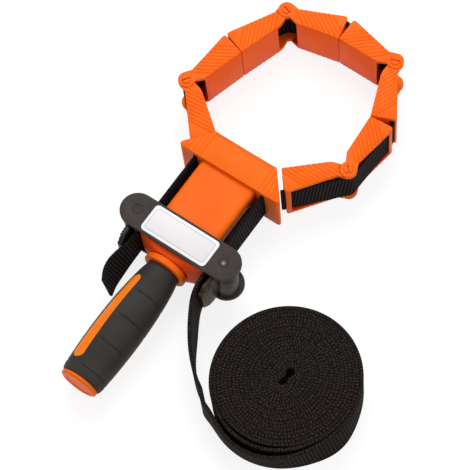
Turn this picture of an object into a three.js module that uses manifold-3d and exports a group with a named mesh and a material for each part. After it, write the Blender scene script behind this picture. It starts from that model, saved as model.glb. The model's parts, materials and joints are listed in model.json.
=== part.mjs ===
// Ratchet band clamp: a screw-tightened head, four folding jaws and a wound webbing strap.
// Millimetres, +Z up. The origin is on the underside of the head, at the middle of its plan.
// +X runs along the crossbar and +Y from the handle to the head. The clamp lies on the plane Z = 0.

import * as THREE from 'three';
import { mergeVertices } from 'three/addons/utils/BufferGeometryUtils.js';
import Module from 'manifold-3d';

const wasm = await Module();
wasm.setup();

// Clearances and shared cuts
const touchGap = 0.3;
const slideGap = 0.4;
const cutOverrun = 2;

// Strap
const strapWidth = 25;
const strapThickness = 1.6;
const strapPlay = 0.7;

// Head
const headHeight = 33;
const headDepth = 19;
const headFrontWidth = 44.8;
const headBackWidth = 74.8;
const headLipDepth = 2.2;
const headLipDrop = 0.6;
const headSocketDepth = 4;
const headCornerRound = 2;
const headFrontRound = 1.4;
const wingGrooveCount = 5;
const wingGroovePitch = 2.9;
const wingGrooveWidth = 1;
const wingGrooveDepth = 0.5;

// Box that joins the head to the handle
const boxWidth = 39;
const boxHeight = 27.4;
const boxRound = 3;
const boxWall = 2.6;
const boxRearWall = 3.6;
const boxLength = 61.2;
const slotHeight = 8.4;
const slotEndMargin = 5;
const flareOut = 3.8;
const flareFlat = 1.4;
const flareLength = 5.2;

// Crossbar that slides along the box
const crossbarAhead = 4.5;
const crossbarGap = 28.2;
const crossbarPlate = 2.4;
const crossbarRadius = 10.8;
const camPinInset = 7;
const labelLength = 46.6;
const labelWidth = 18.6;
const labelRound = 2.6;
const labelThickness = 0.7;
const labelSink = 0.6;
const postLength = 12.4;
const postPocketDepth = 1.2;
const tenonLength = 9;
const strapLineInset = 4.9;

// Cam levers, their pins and springs
const camPinRadius = 2.2;
const camPinHeadRadius = 2.9;
const camPinHeadHeight = 0.7;
const camOffset = 2.2;
const camOffsetAngle = -45;
const camTabReach = 22.4;
const camTabThickness = 2.8;
const camTabLean = 2;
const camTabTipRound = 5;
const camRibCount = 5;
const camRibPitch = 1.9;
const camRibHeight = 0.5;
const springWire = 0.7;
const springRadius = 3.7;
const springPitch = 1.25;
const springTurns = 3;
const springStepsPerTurn = 8;
const springSides = 5;

// Nut, spindle and thrust parts
const nutLength = 12;
const nutWidth = 20;
const nutHeight = 17;
const nutArmLength = 8;
const spindleRadius = 3.9;
const spindleEndGap = 6;
const spindleGrip = 28;
const washerRadius = 8.5;
const washerThickness = 1.4;
const clipRadius = 6.4;
const clipThickness = 1.1;
const clipGrooveDepth = 0.8;
const clipMouth = 5.4;

// Handle
const handleLength = 90;
const collarRadius = 15.6;
const collarLength = 4.2;
const gripNeckRadius = 11.4;
const gripRadius = 16.4;
const gripEndRadius = 12;
const gripNeckShare = 0.1;
const gripBellyShare = 0.62;
const gripTailPower = 1.5;
const gripGrooveShares = [0.26, 0.48, 0.7, 0.93];
const gripGrooveWidth = 1.4;
const gripGrooveDepth = 0.6;
const coreRadius = 8;
const inlayWidth = 6.4;
const inlayStartShare = 0.17;
const inlayEndShare = 0.89;
const inlayTurn = 122;
const inlaySink = 0.2;
const capThickness = 2.2;
const capPlugRadius = 6;
const capPlugLength = 6;

// Jaw arms
const pinArmReach = 39.4;
const earArmReach = 37.3;
const armWall = 6.6;
const armOuter = 9.6;
const armEndRound = 1.8;
const armHeight = 31.4;
const armPlate = 2.4;
const armContactWall = 2.2;
const armEndFrame = 3.6;
const pinWallStart = 11.8;
const earWallStart = 9.3;
const shoulderSteps = [[0.28, 0.07], [0.52, 0.26]];
const earRadius = 5.3;
const earTongue = 1;
const earPlate = 1.6;
const jawPinRadius = 2.4;
const jawPinLip = 0.7;
const jawPinLipHeight = 0.5;
const jawPinSlot = 0.9;
const armNeckAlong = 6.8;
const armNeckOut = 3.1;
const armNeckRound = 2;
const armStrapAtEnd = 6.8;
const earOpenTurn = 48;
const armGroovePitch = 3.5;
const armGrooveWidth = 1;
const armGrooveDepth = 0.5;
const armGrooveTurn = 43;
const armGrooveMargin = 1.6;
const headGap = 0.5;
const junctionGap = 0.6;
const openGap = 2.7;

// Headings of the jaws' contact walls, from each hinge to the arm's free end, in degrees.
// The first is counted from the head's slanted end. The arm that names pins carries the snap pins.
const jawPlans = [
  { a: 0.5, b: 73.3, pins: 'a' },
  { a: -108.7, b: 11, pins: 'a' },
  { a: 178.8, b: -69.1, pins: 'b' },
];

// Strap in each jaw: its distance outside the hinge's axis, and how far it is bent round that axis
const jawStraps = [
  { atHinge: 4.2, wrap: 20 },
  { atHinge: 1.4, wrap: 0 },
  { atHinge: 1.4, wrap: 0 },
  { atHinge: 4.2, wrap: 20 },
];

// Wound roll of the strap
const rollCentreX = 101.7;
const rollCentreY = -95.6;
const rollRadius = 45.3;
const rollPitch = 2.15;
const rollTurns = 19;
const rollStepsPerTurn = 24;
const rollEndAngle = -112;
const rollHeading = rollEndAngle + 90;
const rollOvalShare = 0.012;
const rollOvalTurn = 40;
const rollLead = 8;

// Free strap from the right cam to the roll: its centre line, chosen by hand, as steps away from the
// strap's line beside the box, steps back from the crossbar's middle, and heights
const freeSteps = [
  [0, 11.8, 16.4], [0.1, 15.9, 16.1], [0.8, 20.9, 15.4], [2.5, 26.4, 14.6], [5.5, 32.4, 13.9],
  [9.5, 39.1, 13.3], [14.4, 46.2, 12.9], [20.2, 53.4, 12.6], [26.7, 60, 12.5], [33.2, 65.6, 12.5],
  [39.4, 69.7, 12.5],
];
const freeRouteSteps = 48;

// Short tail behind the left cam, in the same steps: the bottom edge, then the top edge, chosen by hand
const tailBottomSteps = [
  [0, -10.2], [0, 0], [0.1, 7.4], [0.3, 13.4], [0.5, 20], [0.5, 26.9], [0.3, 32.9], [-0.3, 38.9], [-1.9, 45],
];
const tailTopSteps = [
  [0, -10.2], [0, 0], [0.2, 7.4], [0.8, 13.4], [1.6, 20], [3.6, 26.9], [4.5, 33.4], [3.2, 40], [-0.4, 46.5],
];
const tailSteps = 28;
const tailDropShare = 0.24;

// Facets and shares
const cutShare = 0.5;
const quarterTurn = 90;
const weldGap = 1e-5;
const roundSteps = 24;
const smallSteps = 12;
const cornerSteps = 4;
const gripSteps = 32;

// Derived places
const axisHeight = headHeight / 2;
const headBackY = -headDepth / 2;
const boxFrontY = headBackY + headSocketDepth;
const boxRearY = boxFrontY - boxLength;
const flareWidth = boxWidth + 2 * flareOut;
const flareRearY = boxRearY - flareFlat - flareLength;
const crossbarY = boxRearY + boxRearWall + crossbarAhead;
const strapLineX = boxWidth / 2 + strapLineInset;
const freeRoute = freeSteps.map(([out, back, z]) => [strapLineX + out, crossbarY - back, z]);
const tailEdge = (steps) => steps.map(([out, back]) => [-strapLineX - out, crossbarY - back, 0]);
const strapZ = [axisHeight - strapWidth / 2, axisHeight + strapWidth / 2];
const crossbarHalf = crossbarGap / 2 + crossbarPlate;
const postInnerX = boxWidth / 2 + slideGap;
const postOuterX = strapLineX - strapThickness / 2 - slideGap;
const degrees = Math.PI / 180;

// Materials
const finish = (color, roughness, metalness = 0) =>
  new THREE.MeshStandardMaterial({ color, roughness, metalness });
const orangePlastic = finish(0xff6f1e, 0.45);
const collarPlastic = finish(0xff8a1c, 0.45);
const blackSteel = finish(0x3c3836, 0.5, 0.2);
const gripRubber = finish(0x3b3634, 0.75);
const webbing = finish(0x241f1d, 0.9);
const labelWhite = finish(0xeeeaee, 0.5);
const brightSteel = finish(0xa8a8a8, 0.35, 0.9);
const camBronze = finish(0x4a3f2c, 0.35, 0.7);
const nutBrass = finish(0xb08d4a, 0.4, 0.8);

const clamp = new THREE.Group();

function addPart(name, geometry, material, parent = clamp) {
  const mesh = new THREE.Mesh(geometry, material);
  mesh.name = name;
  parent.add(mesh);
  return mesh;
}

// Solid tools
function bare(geometry) {
  const plain = geometry.clone();
  plain.deleteAttribute('normal');
  plain.deleteAttribute('uv');
  return mergeVertices(plain, weldGap);
}

function toSolid(geometry) {
  const plain = bare(geometry);
  return new wasm.Manifold(new wasm.Mesh({
    numProp: 3,
    vertProperties: new Float32Array(plain.attributes.position.array),
    triVerts: new Uint32Array(plain.index.array),
  }));
}

function toGeometry(solid) {
  const mesh = solid.getMesh();
  const geometry = new THREE.BufferGeometry();
  const places = new Float32Array(mesh.triVerts.length * 3);
  mesh.triVerts.forEach((vertex, i) => {
    for (let k = 0; k < 3; k += 1) places[i * 3 + k] = mesh.vertProperties[vertex * mesh.numProp + k];
  });
  geometry.setAttribute('position', new THREE.BufferAttribute(places, 3));
  geometry.computeVertexNormals();
  return geometry;
}

const join = (...solids) => solids.reduce((whole, next) => whole.add(next));
const cut = (solid, ...tools) => tools.reduce((rest, tool) => rest.subtract(tool), solid);

function moved(geometry, x, y, z) {
  return geometry.clone().translate(x, y, z);
}

// A block between two corners
function block(low, high) {
  const size = low.map((v, i) => high[i] - v);
  const box = new THREE.BoxGeometry(...size);
  return moved(box, ...low.map((v, i) => v + size[i] / 2));
}

// A plan outline, given as points or a Shape, raised from one height to another
function prism(outline, lowZ, highZ) {
  const shape = Array.isArray(outline)
    ? new THREE.Shape(outline.map(([x, y]) => new THREE.Vector2(x, y)))
    : outline;
  const raised = new THREE.ExtrudeGeometry(shape, {
    depth: highZ - lowZ, bevelEnabled: false, curveSegments: cornerSteps,
  });
  return moved(raised, 0, 0, lowZ);
}

// A body turned about the vertical through (x, y), from [radius, height] points
function upright(profile, x, y, steps = roundSteps) {
  const turned = new THREE.LatheGeometry(profile.map(([r, h]) => new THREE.Vector2(r, h)), steps);
  return moved(turned.rotateX(Math.PI / 2), x, y, 0);
}

// A body turned about the handle's axis, from [radius, y] points in order of falling y
function alongHandle(profile, steps = roundSteps) {
  const turned = new THREE.LatheGeometry(profile.map(([r, y]) => new THREE.Vector2(r, y)), steps);
  return moved(turned, 0, 0, axisHeight);
}

function rod(radius, lowZ, highZ, x, y, steps = smallSteps) {
  return upright([[0, highZ], [radius, highZ], [radius, lowZ], [0, lowZ]].reverse(), x, y, steps);
}

// Closed outline of a rectangle with round corners, as points about its centre
function roundedRectangle(width, height, radius, steps = cornerSteps) {
  const points = [];
  const corners = [[1, 1], [-1, 1], [-1, -1], [1, -1]];
  for (const [quarter, [sx, sy]] of corners.entries()) {
    for (let i = 0; i <= steps; i += 1) {
      const turn = (quarter + i / steps) * quarterTurn * degrees;
      points.push([
        sx * (width / 2 - radius) + radius * Math.cos(turn),
        sy * (height / 2 - radius) + radius * Math.sin(turn),
      ]);
    }
  }
  return points;
}

// An outline with some of its corners rounded: each point is [x, y] or [x, y, radius]
function softened(outline, steps = cornerSteps) {
  return outline.flatMap(([x, y, radius], i) => {
    if (!radius) return [[x, y]];
    const ends = [outline.at(i - 1), outline[(i + 1) % outline.length]].map(([ex, ey]) => {
      const run = Math.hypot(ex - x, ey - y);
      return [(ex - x) / run, (ey - y) / run];
    });
    const half = Math.acos(ends[0][0] * ends[1][0] + ends[0][1] * ends[1][1]) / 2;
    const back = radius / Math.tan(half);
    const [from, to] = ends.map(([dx, dy]) => [x + dx * back, y + dy * back]);
    return Array.from({ length: steps + 1 }, (_, k) => {
      const t = k / steps;
      const pull = 2 * t * (1 - t);
      return [0, 1].map((c) => (1 - t) ** 2 * from[c] + pull * [x, y][c] + t ** 2 * to[c]);
    });
  });
}

// A skin over loops of equal count, closed at both ends by fans from the loops' centres
function skin(loops) {
  const count = loops[0].length;
  const places = loops.flat(2);
  const faces = [];
  for (let row = 0; row + 1 < loops.length; row += 1) {
    for (let i = 0; i < count; i += 1) {
      const a = row * count + i;
      const b = row * count + ((i + 1) % count);
      faces.push(a, b, b + count, a, b + count, a + count);
    }
  }
  const ends = [[loops[0], 0, false], [loops[loops.length - 1], (loops.length - 1) * count, true]];
  for (const [loop, first, last] of ends) {
    const centre = places.length / 3;
    for (let k = 0; k < 3; k += 1) {
      places.push(loop.reduce((sum, point) => sum + point[k], 0) / count);
    }
    for (let i = 0; i < count; i += 1) {
      const a = first + i;
      const b = first + ((i + 1) % count);
      faces.push(...(last ? [centre, a, b] : [centre, b, a]));
    }
  }
  const geometry = new THREE.BufferGeometry();
  geometry.setAttribute('position', new THREE.Float32BufferAttribute(places, 3));
  geometry.setIndex(faces);
  const flat = geometry.toNonIndexed();
  flat.computeVertexNormals();
  return outward(flat);
}

// Turns a closed body's faces outwards if they point in
function outward(geometry) {
  const p = geometry.attributes.position;
  const [a, b, c] = [new THREE.Vector3(), new THREE.Vector3(), new THREE.Vector3()];
  let volume = 0;
  for (let i = 0; i < p.count; i += 3) {
    a.fromBufferAttribute(p, i);
    b.fromBufferAttribute(p, i + 1);
    c.fromBufferAttribute(p, i + 2);
    volume += a.dot(b.cross(c));
  }
  if (volume < 0) {
    for (let i = 0; i < p.count; i += 3) {
      a.fromBufferAttribute(p, i);
      b.fromBufferAttribute(p, i + 1);
      p.setXYZ(i, b.x, b.y, b.z);
      p.setXYZ(i + 1, a.x, a.y, a.z);
    }
    geometry.computeVertexNormals();
  }
  return geometry;
}

// A band on edge along two matching lines of points: its bottom edge and its top edge
function band(bottom, top, thickness = strapThickness) {
  const loops = bottom.map((low, i) => {
    const high = top[i];
    const before = bottom[Math.max(i - 1, 0)];
    const after = bottom[Math.min(i + 1, bottom.length - 1)];
    const run = Math.hypot(after[0] - before[0], after[1] - before[1]);
    const side = [
      (-(after[1] - before[1]) / run) * (thickness / 2),
      ((after[0] - before[0]) / run) * (thickness / 2),
    ];
    return [
      [low[0] + side[0], low[1] + side[1], low[2]],
      [low[0] - side[0], low[1] - side[1], low[2]],
      [high[0] - side[0], high[1] - side[1], high[2]],
      [high[0] + side[0], high[1] + side[1], high[2]],
    ];
  });
  return skin(loops);
}

function smoothLine(points, steps) {
  const curve = new THREE.CatmullRomCurve3(points.map((p) => new THREE.Vector3(...p)), false, 'centripetal');
  return curve.getSpacedPoints(steps).map((p) => p.toArray());
}

// The point that lies a length ahead of another at a heading in degrees
const ahead = (from, turn, length) => [
  from[0] + length * Math.cos(turn * degrees), from[1] + length * Math.sin(turn * degrees),
];

// A V-shaped groove cutter along a line in plan, opening upwards at height z
function groove(x, y, turn, length, width, depth, z, up) {
  const section = [
    [-width / 2 - width * cutShare, depth * cutShare * 2],
    [width / 2 + width * cutShare, depth * cutShare * 2],
    [0, -depth],
  ];
  const wedge = prism(section, -length / 2, length / 2).rotateX(Math.PI / 2);
  if (!up) wedge.rotateY(Math.PI);
  wedge.rotateZ((turn - quarterTurn) * degrees);
  return moved(wedge, x, y, z);
}

// Head: a trapezoid in plan whose slanted ends meet the first and the last jaw arm
const headFaceRun = (headBackWidth - headFrontWidth) / 2;
const headFaceLength = Math.hypot(headFaceRun, headDepth);
const headNormal = [headDepth / headFaceLength, headFaceRun / headFaceLength];
const headAlong = [headNormal[1], -headNormal[0]];
const headCorner = [headFrontWidth / 2, headDepth / 2];

// The strap's way through one wing: from the back face to the slanted end
const strapExit = [
  headCorner[0] + headAlong[0] * (armWall + armStrapAtEnd),
  headCorner[1] + headAlong[1] * (armWall + armStrapAtEnd),
];
const bendBack = (strapExit[0] - strapLineX) / headNormal[0];
const strapBend = [strapLineX, strapExit[1] - headNormal[1] * bendBack];

function wingLine(startExtra, endExtra, steps) {
  const curve = new THREE.QuadraticBezierCurve(
    new THREE.Vector2(strapLineX, headBackY),
    new THREE.Vector2(...strapBend),
    new THREE.Vector2(...strapExit),
  );
  const line = curve.getPoints(steps).map((p) => [p.x, p.y]);
  line[0][1] -= startExtra;
  const last = line[line.length - 1];
  last[0] += headNormal[0] * endExtra;
  last[1] += headNormal[1] * endExtra;
  return line;
}

function bandAlong(line, lowZ, highZ, thickness) {
  return band(line.map(([x, y]) => [x, y, lowZ]), line.map(([x, y]) => [x, y, highZ]), thickness);
}

const mirrorX = (geometry) => outward(flatCopy(geometry).scale(-1, 1, 1));

function flatCopy(geometry) {
  const copy = geometry.index ? geometry.toNonIndexed() : geometry.clone();
  copy.deleteAttribute('uv');
  return copy;
}

function buildHead() {
  const half = headDepth / 2;
  const plan = softened([
    [-headFrontWidth / 2, half, headFrontRound], [-headBackWidth / 2, -half, headCornerRound],
    [headBackWidth / 2, -half, headCornerRound], [headFrontWidth / 2, half, headFrontRound],
  ]);
  let head = toSolid(prism(plan, 0, headHeight));
  const play = strapThickness + 2 * strapPlay;
  const slot = [axisHeight - strapWidth / 2 - strapPlay, axisHeight + strapWidth / 2 + strapPlay];
  const way = bandAlong(wingLine(cutOverrun, cutOverrun, roundSteps / 4), ...slot, play);
  head = cut(head, toSolid(way), toSolid(mirrorX(way)));
  const socket = prism(
    roundedRectangle(boxWidth + 2 * touchGap, boxHeight + 2 * touchGap, boxRound),
    -cutOverrun, headSocketDepth,
  ).rotateX(-Math.PI / 2);
  head = cut(head, toSolid(moved(socket, 0, headBackY, axisHeight)));
  const lipX = headFrontWidth / 2 - headLipDepth;
  head = cut(head, toSolid(block(
    [-lipX, half - headLipDepth, headHeight - headLipDrop],
    [lipX, half + cutOverrun, headHeight + cutOverrun],
  )));
  for (const side of [-1, 1]) {
    for (let i = 0; i < wingGrooveCount; i += 1) {
      const x = side * (headFrontWidth / 2 + wingGroovePitch * (i - 0.5));
      for (const up of [true, false]) {
        head = cut(head, toSolid(groove(
          x, 0, quarterTurn, headDepth * 2, wingGrooveWidth, wingGrooveDepth, up ? headHeight : 0, up,
        )));
      }
    }
  }
  return toGeometry(head);
}

// Box: a rounded channel with side slots, a rear wall and a flare that blends into the round collar
function buildBox() {
  const shell = prism(
    roundedRectangle(boxWidth, boxHeight, boxRound), 0, boxLength - touchGap,
  ).rotateX(-Math.PI / 2);
  const hollow = prism(
    roundedRectangle(boxWidth - 2 * boxWall, boxHeight - 2 * boxWall, boxRound / 2),
    boxRearWall, boxLength + cutOverrun,
  ).rotateX(-Math.PI / 2);
  let box = toSolid(moved(shell, 0, boxRearY, axisHeight));
  const flareLoop = (width, height, radius, y) =>
    roundedRectangle(width, height, radius, 2 * cornerSteps).map(([x, z]) => [x, y, axisHeight + z]);
  const flare = skin([
    flareLoop(boxWidth, boxHeight, boxRound, boxRearY + flareFlat),
    flareLoop(flareWidth, boxHeight, boxRound, boxRearY),
    flareLoop(flareWidth, boxHeight, boxRound, boxRearY - flareFlat),
    flareLoop(
      flareWidth / 2 + collarRadius, boxHeight, boxHeight / 3, boxRearY - flareFlat - flareLength / 2,
    ),
    flareLoop(2 * collarRadius, boxHeight, boxHeight / 2, flareRearY),
  ]);
  box = join(box, toSolid(flare));
  box = cut(box, toSolid(moved(hollow, 0, boxRearY, axisHeight)));
  const slotRear = boxRearY + boxRearWall;
  box = cut(box, toSolid(block(
    [-boxWidth, slotRear, axisHeight - slotHeight / 2],
    [boxWidth, headBackY - slotEndMargin, axisHeight + slotHeight / 2],
  )));
  const bore = alongHandle([
    [0, flareRearY - cutOverrun], [spindleRadius + slideGap, flareRearY - cutOverrun],
    [spindleRadius + slideGap, boxRearY + boxRearWall + cutOverrun], [0, boxRearY + boxRearWall + cutOverrun],
  ]);
  return toGeometry(cut(box, toSolid(bore)));
}

addPart('head', buildHead(), orangePlastic);
addPart('box_housing', buildBox(), orangePlastic);

// Strap inside the wings and beside the box
const wingStrap = bandAlong(wingLine(-touchGap, -touchGap, roundSteps / 4), ...strapZ, strapThickness);
addPart('strap_in_head_right', wingStrap, webbing);
addPart('strap_in_head_left', mirrorX(wingStrap), webbing);
const clampFrontY = crossbarY + crossbarRadius - touchGap;
const sideStrap = block(
  [strapLineX - strapThickness / 2, clampFrontY + touchGap, strapZ[0]],
  [strapLineX + strapThickness / 2, headBackY, strapZ[1]],
);
addPart('strap_side_right', sideStrap, webbing);
addPart('strap_side_left', mirrorX(sideStrap), webbing);

// Crossbar
const stadium = (halfSpacing, radius, steps) => {
  const points = [];
  for (const side of [1, -1]) {
    for (let i = 0; i <= steps; i += 1) {
      const turn = ((2 * i) / steps - side) * quarterTurn * degrees;
      points.push([side * halfSpacing + radius * Math.cos(turn), radius * Math.sin(turn)]);
    }
  }
  return points;
};
const camPinX = strapLineX + camPinInset;
const plateOutline = stadium(camPinX, crossbarRadius, smallSteps).map(([x, y]) => [x, y + crossbarY]);
const tenonInnerX = postInnerX + postPocketDepth;
const tenonOuterX = postOuterX;

// Place of a post's tenon, or with a clearance of the mortise that takes it
function tenon(side, lowZ, highZ, clearance) {
  const x = [side * (tenonInnerX - clearance), side * (tenonOuterX + clearance)].sort((a, b) => a - b);
  const half = tenonLength / 2 + clearance;
  return block([x[0], crossbarY - half, lowZ], [x[1], crossbarY + half, highZ]);
}

function buildPlate(up) {
  const inner = crossbarGap / 2;
  const face = crossbarHalf;
  let plate = toSolid(prism(plateOutline, inner, face));
  for (const side of [-1, 1]) {
    const x = side * camPinX;
    plate = cut(
      plate,
      toSolid(rod(camPinRadius + touchGap, inner - cutOverrun, face + cutOverrun, x, crossbarY)),
      toSolid(rod(
        camPinHeadRadius + touchGap, face - camPinHeadHeight - touchGap, face + cutOverrun, x, crossbarY,
      )),
      toSolid(tenon(side, inner - cutOverrun, face + cutOverrun, touchGap)),
    );
  }
  if (up) {
    const seat = roundedRectangle(
      labelLength + 2 * touchGap, labelWidth + 2 * touchGap, labelRound + touchGap,
    ).map(([x, y]) => [x, y + crossbarY]);
    plate = cut(plate, toSolid(prism(seat, face - labelSink, face + cutOverrun)));
  }
  return plate;
}

const flipDown = (geometry) => outward(flatCopy(geometry).scale(1, 1, -1));
addPart('crossbar_upper_plate', moved(toGeometry(buildPlate(true)), 0, 0, axisHeight), blackSteel);
addPart('crossbar_lower_plate', moved(flipDown(toGeometry(buildPlate(false))), 0, 0, axisHeight), blackSteel);
const labelOutline = roundedRectangle(labelLength, labelWidth, labelRound)
  .map(([x, y]) => [x, y + crossbarY]);
const labelLow = axisHeight + crossbarHalf - labelSink + touchGap;
addPart('label_plate', prism(labelOutline, labelLow, labelLow + labelThickness), labelWhite);

// Posts that hold the plates apart, carry the nut's arms and back the strap against the cams
function buildPost() {
  const half = crossbarGap / 2 - touchGap;
  let post = toSolid(block(
    [postInnerX, crossbarY - postLength / 2, axisHeight - half],
    [postOuterX, crossbarY + postLength / 2, axisHeight + half],
  ));
  const pocketLength = nutArmLength / 2 + touchGap;
  const pocketHeight = slotHeight / 2 - slideGap + touchGap;
  post = cut(post, toSolid(block(
    [postInnerX - cutOverrun, crossbarY - pocketLength, axisHeight - pocketHeight],
    [postInnerX + postPocketDepth, crossbarY + pocketLength, axisHeight + pocketHeight],
  )));
  post = join(post, toSolid(moved(tenon(1, -crossbarHalf, crossbarHalf - labelSink, 0), 0, 0, axisHeight)));
  return toGeometry(post);
}
const post = buildPost();
addPart('strap_post_right', post, blackSteel);
addPart('strap_post_left', mirrorX(post), blackSteel);

// Nut block with arms that reach through the slots of the box into the posts
const washerRearY = boxRearY + boxRearWall + touchGap;
const clipRearY = washerRearY + washerThickness + touchGap;
const nutRearY = clipRearY + clipThickness + slideGap;

function buildNut() {
  const body = toSolid(block(
    [-nutWidth / 2, nutRearY, axisHeight - nutHeight / 2],
    [nutWidth / 2, nutRearY + nutLength, axisHeight + nutHeight / 2],
  ));
  const armX = [washerRadius + slideGap, postInnerX + postPocketDepth - touchGap];
  const armY = [crossbarY - nutArmLength / 2, crossbarY + nutArmLength / 2];
  const armZ = slotHeight / 2 - slideGap;
  const arm = block([armX[0], armY[0], axisHeight - armZ], [armX[1], armY[1], axisHeight + armZ]);
  const bore = alongHandle([
    [0, nutRearY - cutOverrun], [spindleRadius + touchGap, nutRearY - cutOverrun],
    [spindleRadius + touchGap, nutRearY + nutLength + cutOverrun], [0, nutRearY + nutLength + cutOverrun],
  ]);
  return toGeometry(cut(join(body, toSolid(arm), toSolid(mirrorX(arm))), toSolid(bore)));
}
addPart('nut_block', buildNut(), nutBrass);

// Cam levers: an eccentric barrel on its pin with a ribbed thumb tab, the left one mirrored
const camHalf = crossbarGap / 2 - slideGap;
const springPocketDepth = springPitch * springTurns + springWire + touchGap;
const camCentre = [
  camPinX + camOffset * Math.cos(camOffsetAngle * degrees),
  crossbarY + camOffset * Math.sin(camOffsetAngle * degrees),
];
const camRadius = camCentre[0] - strapLineX - strapThickness / 2 - touchGap;

function tabOutline() {
  const rootY = camCentre[1];
  const tipY = crossbarY - camTabReach;
  const lineX = (y) => camPinX - (camTabLean * (rootY - y)) / (rootY - tipY);
  const outer = camTabThickness / 2;
  const points = [[lineX(rootY) - outer, rootY], [lineX(tipY) - outer, tipY]];
  points.push([lineX(tipY) + outer, tipY]);
  for (let i = 0; i < camRibCount; i += 1) {
    const y = tipY + camRibPitch * (i + 0.5);
    points.push([lineX(y) + outer, y - camRibPitch / 4]);
    points.push([lineX(y) + outer + camRibHeight, y]);
    points.push([lineX(y) + outer, y + camRibPitch / 4]);
  }
  points.push([lineX(rootY) + outer, rootY]);
  return points;
}

function buildCam() {
  const barrel = toSolid(rod(camRadius, -camHalf, camHalf, ...camCentre, roundSteps));
  const tab = toSolid(prism(tabOutline(), -camHalf, camHalf));
  const tipY = crossbarY - camTabReach;
  let cam = join(barrel, tab);
  const reach = camTabThickness * 4;
  for (const up of [1, -1]) {
    const wedge = prism([
      [tipY - cutOverrun, up * (camHalf + cutOverrun)], [tipY - cutOverrun, up * (camHalf - camTabTipRound)],
      [tipY, up * (camHalf - camTabTipRound)], [tipY + camTabTipRound, up * camHalf],
      [tipY + camTabTipRound, up * (camHalf + cutOverrun)],
    ], -reach, reach);
    cam = cut(cam, toSolid(outward(flatCopy(wedge).applyMatrix4(yzPlane).translate(camPinX, 0, 0))));
  }
  cam = cut(
    cam,
    toSolid(rod(camPinRadius + slideGap, -camHalf - cutOverrun, camHalf + cutOverrun, camPinX, crossbarY)),
    toSolid(rod(
      springRadius + springWire / 2 + touchGap, camHalf - springPocketDepth, camHalf + cutOverrun,
      camPinX, crossbarY,
    )),
  );
  return moved(toGeometry(cam), 0, 0, axisHeight);
}
const yzPlane = new THREE.Matrix4().set(0, 0, 1, 0, 1, 0, 0, 0, 0, 1, 0, 0, 0, 0, 0, 1);
const camLever = buildCam();
addPart('cam_lever_right', camLever, camBronze);
addPart('cam_lever_left', mirrorX(camLever), camBronze);

// Cam pins: riveted through both plates
const pinTop = crossbarHalf;
const pinProfile = [
  [0, -pinTop], [camPinHeadRadius, -pinTop], [camPinHeadRadius, -pinTop + camPinHeadHeight],
  [camPinRadius, -pinTop + camPinHeadHeight], [camPinRadius, pinTop - camPinHeadHeight],
  [camPinHeadRadius, pinTop - camPinHeadHeight], [camPinHeadRadius, pinTop], [0, pinTop],
];
const camPin = moved(upright(pinProfile, camPinX, crossbarY, smallSteps), 0, 0, axisHeight);
addPart('cam_pin_right', camPin, brightSteel);
addPart('cam_pin_left', mirrorX(camPin), brightSteel);

// Torsion springs in the pockets of the cams
function buildSpring() {
  const lift = axisHeight + camHalf - springPocketDepth + touchGap + springWire / 2;
  const loops = [];
  for (let i = 0; i <= springTurns * springStepsPerTurn; i += 1) {
    const turn = (2 * Math.PI * i) / springStepsPerTurn;
    const z = lift + (springPitch * i) / springStepsPerTurn;
    loops.push(Array.from({ length: springSides }, (_, k) => {
      const around = (2 * Math.PI * k) / springSides;
      const r = springRadius + (springWire / 2) * Math.cos(around);
      const rise = (springWire / 2) * Math.sin(around);
      return [camPinX + r * Math.cos(turn), crossbarY + r * Math.sin(turn), z + rise];
    }));
  }
  return skin(loops);
}
const camSpring = buildSpring();
addPart('cam_spring_right', camSpring, brightSteel);
addPart('cam_spring_left', mirrorX(camSpring), brightSteel);

// Strap held between the right cam and its post, and the tail behind the left cam
addPart('strap_clamped_right', block(
  [strapLineX - strapThickness / 2, freeRoute[0][1] + touchGap, strapZ[0]],
  [strapLineX + strapThickness / 2, clampFrontY, strapZ[1]],
), webbing);

function buildTail() {
  const drop = strapZ[0];
  const fall = (i) => drop * Math.max(0, 1 - i / (tailSteps * tailDropShare * 2));
  const low = smoothLine(tailEdge(tailBottomSteps), tailSteps);
  const high = smoothLine(tailEdge(tailTopSteps), tailSteps);
  low[0][1] = clampFrontY;
  high[0][1] = clampFrontY;
  return band(
    low.map(([x, y], i) => [x, y, fall(Math.max(0, i - tailSteps * tailDropShare))]),
    high.map(([x, y], i) => [x, y, strapWidth + fall(Math.max(0, i - tailSteps * tailDropShare))]),
  );
}
addPart('strap_tail_left', buildTail(), webbing);

// Spindle, washer and clip
const spindleFrontY = headBackY + headSocketDepth - spindleEndGap;
const collarFrontY = flareRearY - slideGap;
addPart('spindle', alongHandle([
  [0, collarFrontY - spindleGrip], [spindleRadius, collarFrontY - spindleGrip],
  [spindleRadius, clipRearY - touchGap],
  [spindleRadius - clipGrooveDepth, clipRearY - touchGap],
  [spindleRadius - clipGrooveDepth, clipRearY + clipThickness + touchGap],
  [spindleRadius, clipRearY + clipThickness + touchGap], [spindleRadius, spindleFrontY - spindleRadius / 2],
  [spindleRadius / 2, spindleFrontY], [0, spindleFrontY],
]), brightSteel);
const ring = (innerR, outerR, rearY, thickness) => alongHandle([
  [innerR, rearY], [outerR, rearY], [outerR, rearY + thickness], [innerR, rearY + thickness],
  [innerR, rearY],
]);
const washer = ring(spindleRadius + slideGap, washerRadius, washerRearY, washerThickness);
addPart('thrust_washer', washer, brightSteel);
const clipMouthCut = block(
  [-clipMouth / 2, clipRearY - cutOverrun, axisHeight - clipRadius - cutOverrun],
  [clipMouth / 2, clipRearY + clipThickness + cutOverrun, axisHeight],
);
addPart('retaining_clip', toGeometry(cut(
  toSolid(ring(spindleRadius - clipGrooveDepth + touchGap, clipRadius, clipRearY, clipThickness)),
  toSolid(clipMouthCut),
)), brightSteel);

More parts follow.
